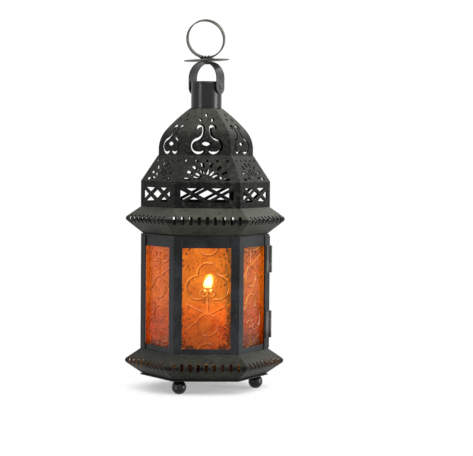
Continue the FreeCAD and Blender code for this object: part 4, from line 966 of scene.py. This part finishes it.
# %% Tabs at the ring's foot
RING_FACING = math.radians(76)
TABS_IN_ROW = 3
TAB_SPREAD = math.radians(27)
TAB_FOOT_RADIUS = 0.0040
TAB_WIDTH = 0.0024
TAB_HEIGHT = 0.0040
TAB_UNEVENNESS = 0.2
TAB_WAIST_LEAN = 0.15
TAB_WAIST_RISE = 0.5
TAB_WAIST_WIDTH = 0.8
TAB_TIP_LEAN = 0.45
TAB_TIP_SKEW = 0.3
TAB_GAUGE = 0.0004
TAB_NOISE_START = Vector((0, 0.3, 0.1))
TAB_NOISE_STEP = Vector((1.7, 0, 0))


def tab_outline(centre, out, rise):
    """Five corners of a tab that leans outwards: foot, waist, tip and back again."""
    across = Vector((-out.y, out.x, 0)) * TAB_WIDTH / 2
    up = Vector((0, 0, rise))
    foot = centre + out * TAB_FOOT_RADIUS
    waist = foot + out * rise * TAB_WAIST_LEAN + up * TAB_WAIST_RISE
    tip = foot + out * rise * TAB_TIP_LEAN + across * TAB_TIP_SKEW + up
    half_waist = across * TAB_WAIST_WIDTH
    return foot - across, foot + across, waist + half_waist, tip, waist - half_waist


def ring_tabs(name, node):
    """Two rows of tabs, in front of the ring and behind it, at the foot of a node."""
    low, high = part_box(node)
    centre = Vector(((low.x + high.x) / 2, (low.y + high.y) / 2, low.z))
    mesh = bmesh.new()
    for number in range(2 * TABS_IN_ROW):
        row, place = divmod(number, TABS_IN_ROW)
        angle = RING_FACING + math.pi * (1 - row) + (place - 1) * TAB_SPREAD
        out = Vector((math.cos(angle), math.sin(angle), 0))
        unevenness = TAB_UNEVENNESS * noise.noise(TAB_NOISE_START + TAB_NOISE_STEP * number)
        corners = tab_outline(centre, out, TAB_HEIGHT * (1 - TAB_UNEVENNESS + unevenness))
        face = mesh.faces.new([mesh.verts.new(corner) for corner in corners])
        grown = bmesh.ops.extrude_face_region(mesh, geom=[face])["geom"]
        bmesh.ops.translate(mesh, vec=out * TAB_GAUGE, verts=vertices_of(grown))
    new_piece(name, mesh, ring_bronze, "ring", "ring_bronze")


ring_tabs("ring_tabs", "petals")

# %% [markdown]
# The floor. In the photograph the lantern stands on white, and only a soft shadow under it shows that
# there is a floor. A white plane alone would turn grey where the lamps are weak. So what is seen of the
# plane partly glows, which keeps its shadow pale, and away from the lantern it fades out until only the
# surround is left.

# %% Floor
FLOOR_REACH = 3.0
FLOOR_SEGMENTS = 8
FADE_OUT = (0.032, 0.066)
FLOOR_GLOW = 0.38
FLOOR_GRAIN = (30, 3)
FLOOR_ROUGHNESS = 0.85
FLOOR_TONE = (0.90, 0.90, 0.90, 1)
FLOOR_PALE = (0.94, 0.94, 0.945, 1)
WHITE = (1, 1, 1, 1)


def floor_finish():
    """Pale and matt, glowing where it is seen, and clear from below and far from the lantern."""
    finish = Finish(bpy.data.materials.new("pale_floor"))
    seen = finish.seen()
    tone = finish.blend(finish.cloud(*FLOOR_GRAIN), FLOOR_TONE, FLOOR_PALE)
    matt = finish.node("ShaderNodeBsdfPrincipled", None, {"Base Color": tone, "Roughness": FLOOR_ROUGHNESS})
    white = finish.node("ShaderNodeEmission", None, {"Color": WHITE, "Strength": 1.0})
    glowing = finish.node("ShaderNodeMixShader", None, {0: seen * FLOOR_GLOW, 1: matt, 2: white})
    clear = finish.node("ShaderNodeBsdfTransparent")
    below = finish.node("ShaderNodeNewGeometry", output="Backfacing")
    gone = (finish.measure("LENGTH", finish.place).fade(*FADE_OUT) * seen).at_least(below)
    return finish.close(finish.node("ShaderNodeMixShader", None, {0: gone, 1: glowing, 2: clear}))


floor_mesh = bmesh.new()
bmesh.ops.create_grid(floor_mesh, x_segments=FLOOR_SEGMENTS, y_segments=FLOOR_SEGMENTS, size=FLOOR_REACH / 2)
floor_data = bpy.data.meshes.new("floor")
floor_mesh.to_mesh(floor_data)
floor_mesh.free()
floor_data.materials.append(floor_finish())
floor = add_object("floor", floor_data)
print("floor reaches", FLOOR_REACH / 2, "m each way")

# %% [markdown]
# The surround. A plain white world would give the white background, but it would also flood the lantern
# with light from all sides. So only what the camera, mirrors and glass see of it is pure white, and the
# light that it sheds is much weaker.

# %% Surround
SURROUND_LIGHT = 0.29
surround = Finish(bpy.data.worlds.new("surround"))
level = surround.seen() * (1 - SURROUND_LIGHT) + SURROUND_LIGHT
background = surround.node("ShaderNodeBackground", None, {"Color": WHITE, "Strength": level})
scene.world = surround.close(background, "ShaderNodeOutputWorld")
print("surround sheds", SURROUND_LIGHT, "of its white")

# %% [markdown]
# The lamps. A studio lights dark metal with large soft boxes, because metal shows the boxes as much as it
# shows itself. Points or a sun would leave hard spots. Two boxes stand in front and above, one behind,
# and two upright strips at the sides draw the bright lines down the neck and along the posts. Each row
# gives a lamp's place, its width and height, and its watts.

# %% Lamps
LAMPS = {
    "key": ((0.40, -0.95, 1.1), (0.7, 0.7), 12.0),
    "top": ((0.45, -0.3, 1.2), (0.8, 0.8), 7.0),
    "back": ((0.80, 0.9, 0.8), (0.7, 0.7), 3.0),
    "left_strip": ((-0.85, -0.72, -0.05), (0.16, 0.9), 6.5),
    "right_strip": ((1.0, -0.24, 0.10), (0.36, 0.9), 14.0),
}
LAMP_AIM = Vector((0, 0, 0.14))
for name, (place, size, watts) in LAMPS.items():
    lamp_data = bpy.data.lights.new(name, "AREA")
    lamp_data.shape = "RECTANGLE"
    lamp_data.size, lamp_data.size_y = size
    lamp_data.energy = watts
    lamp = add_object(name, lamp_data)
    lamp.location = place
    lamp.rotation_euler = (LAMP_AIM - Vector(place)).to_track_quat("-Z", "Y").to_euler()
print("lamps:", ", ".join(LAMPS))
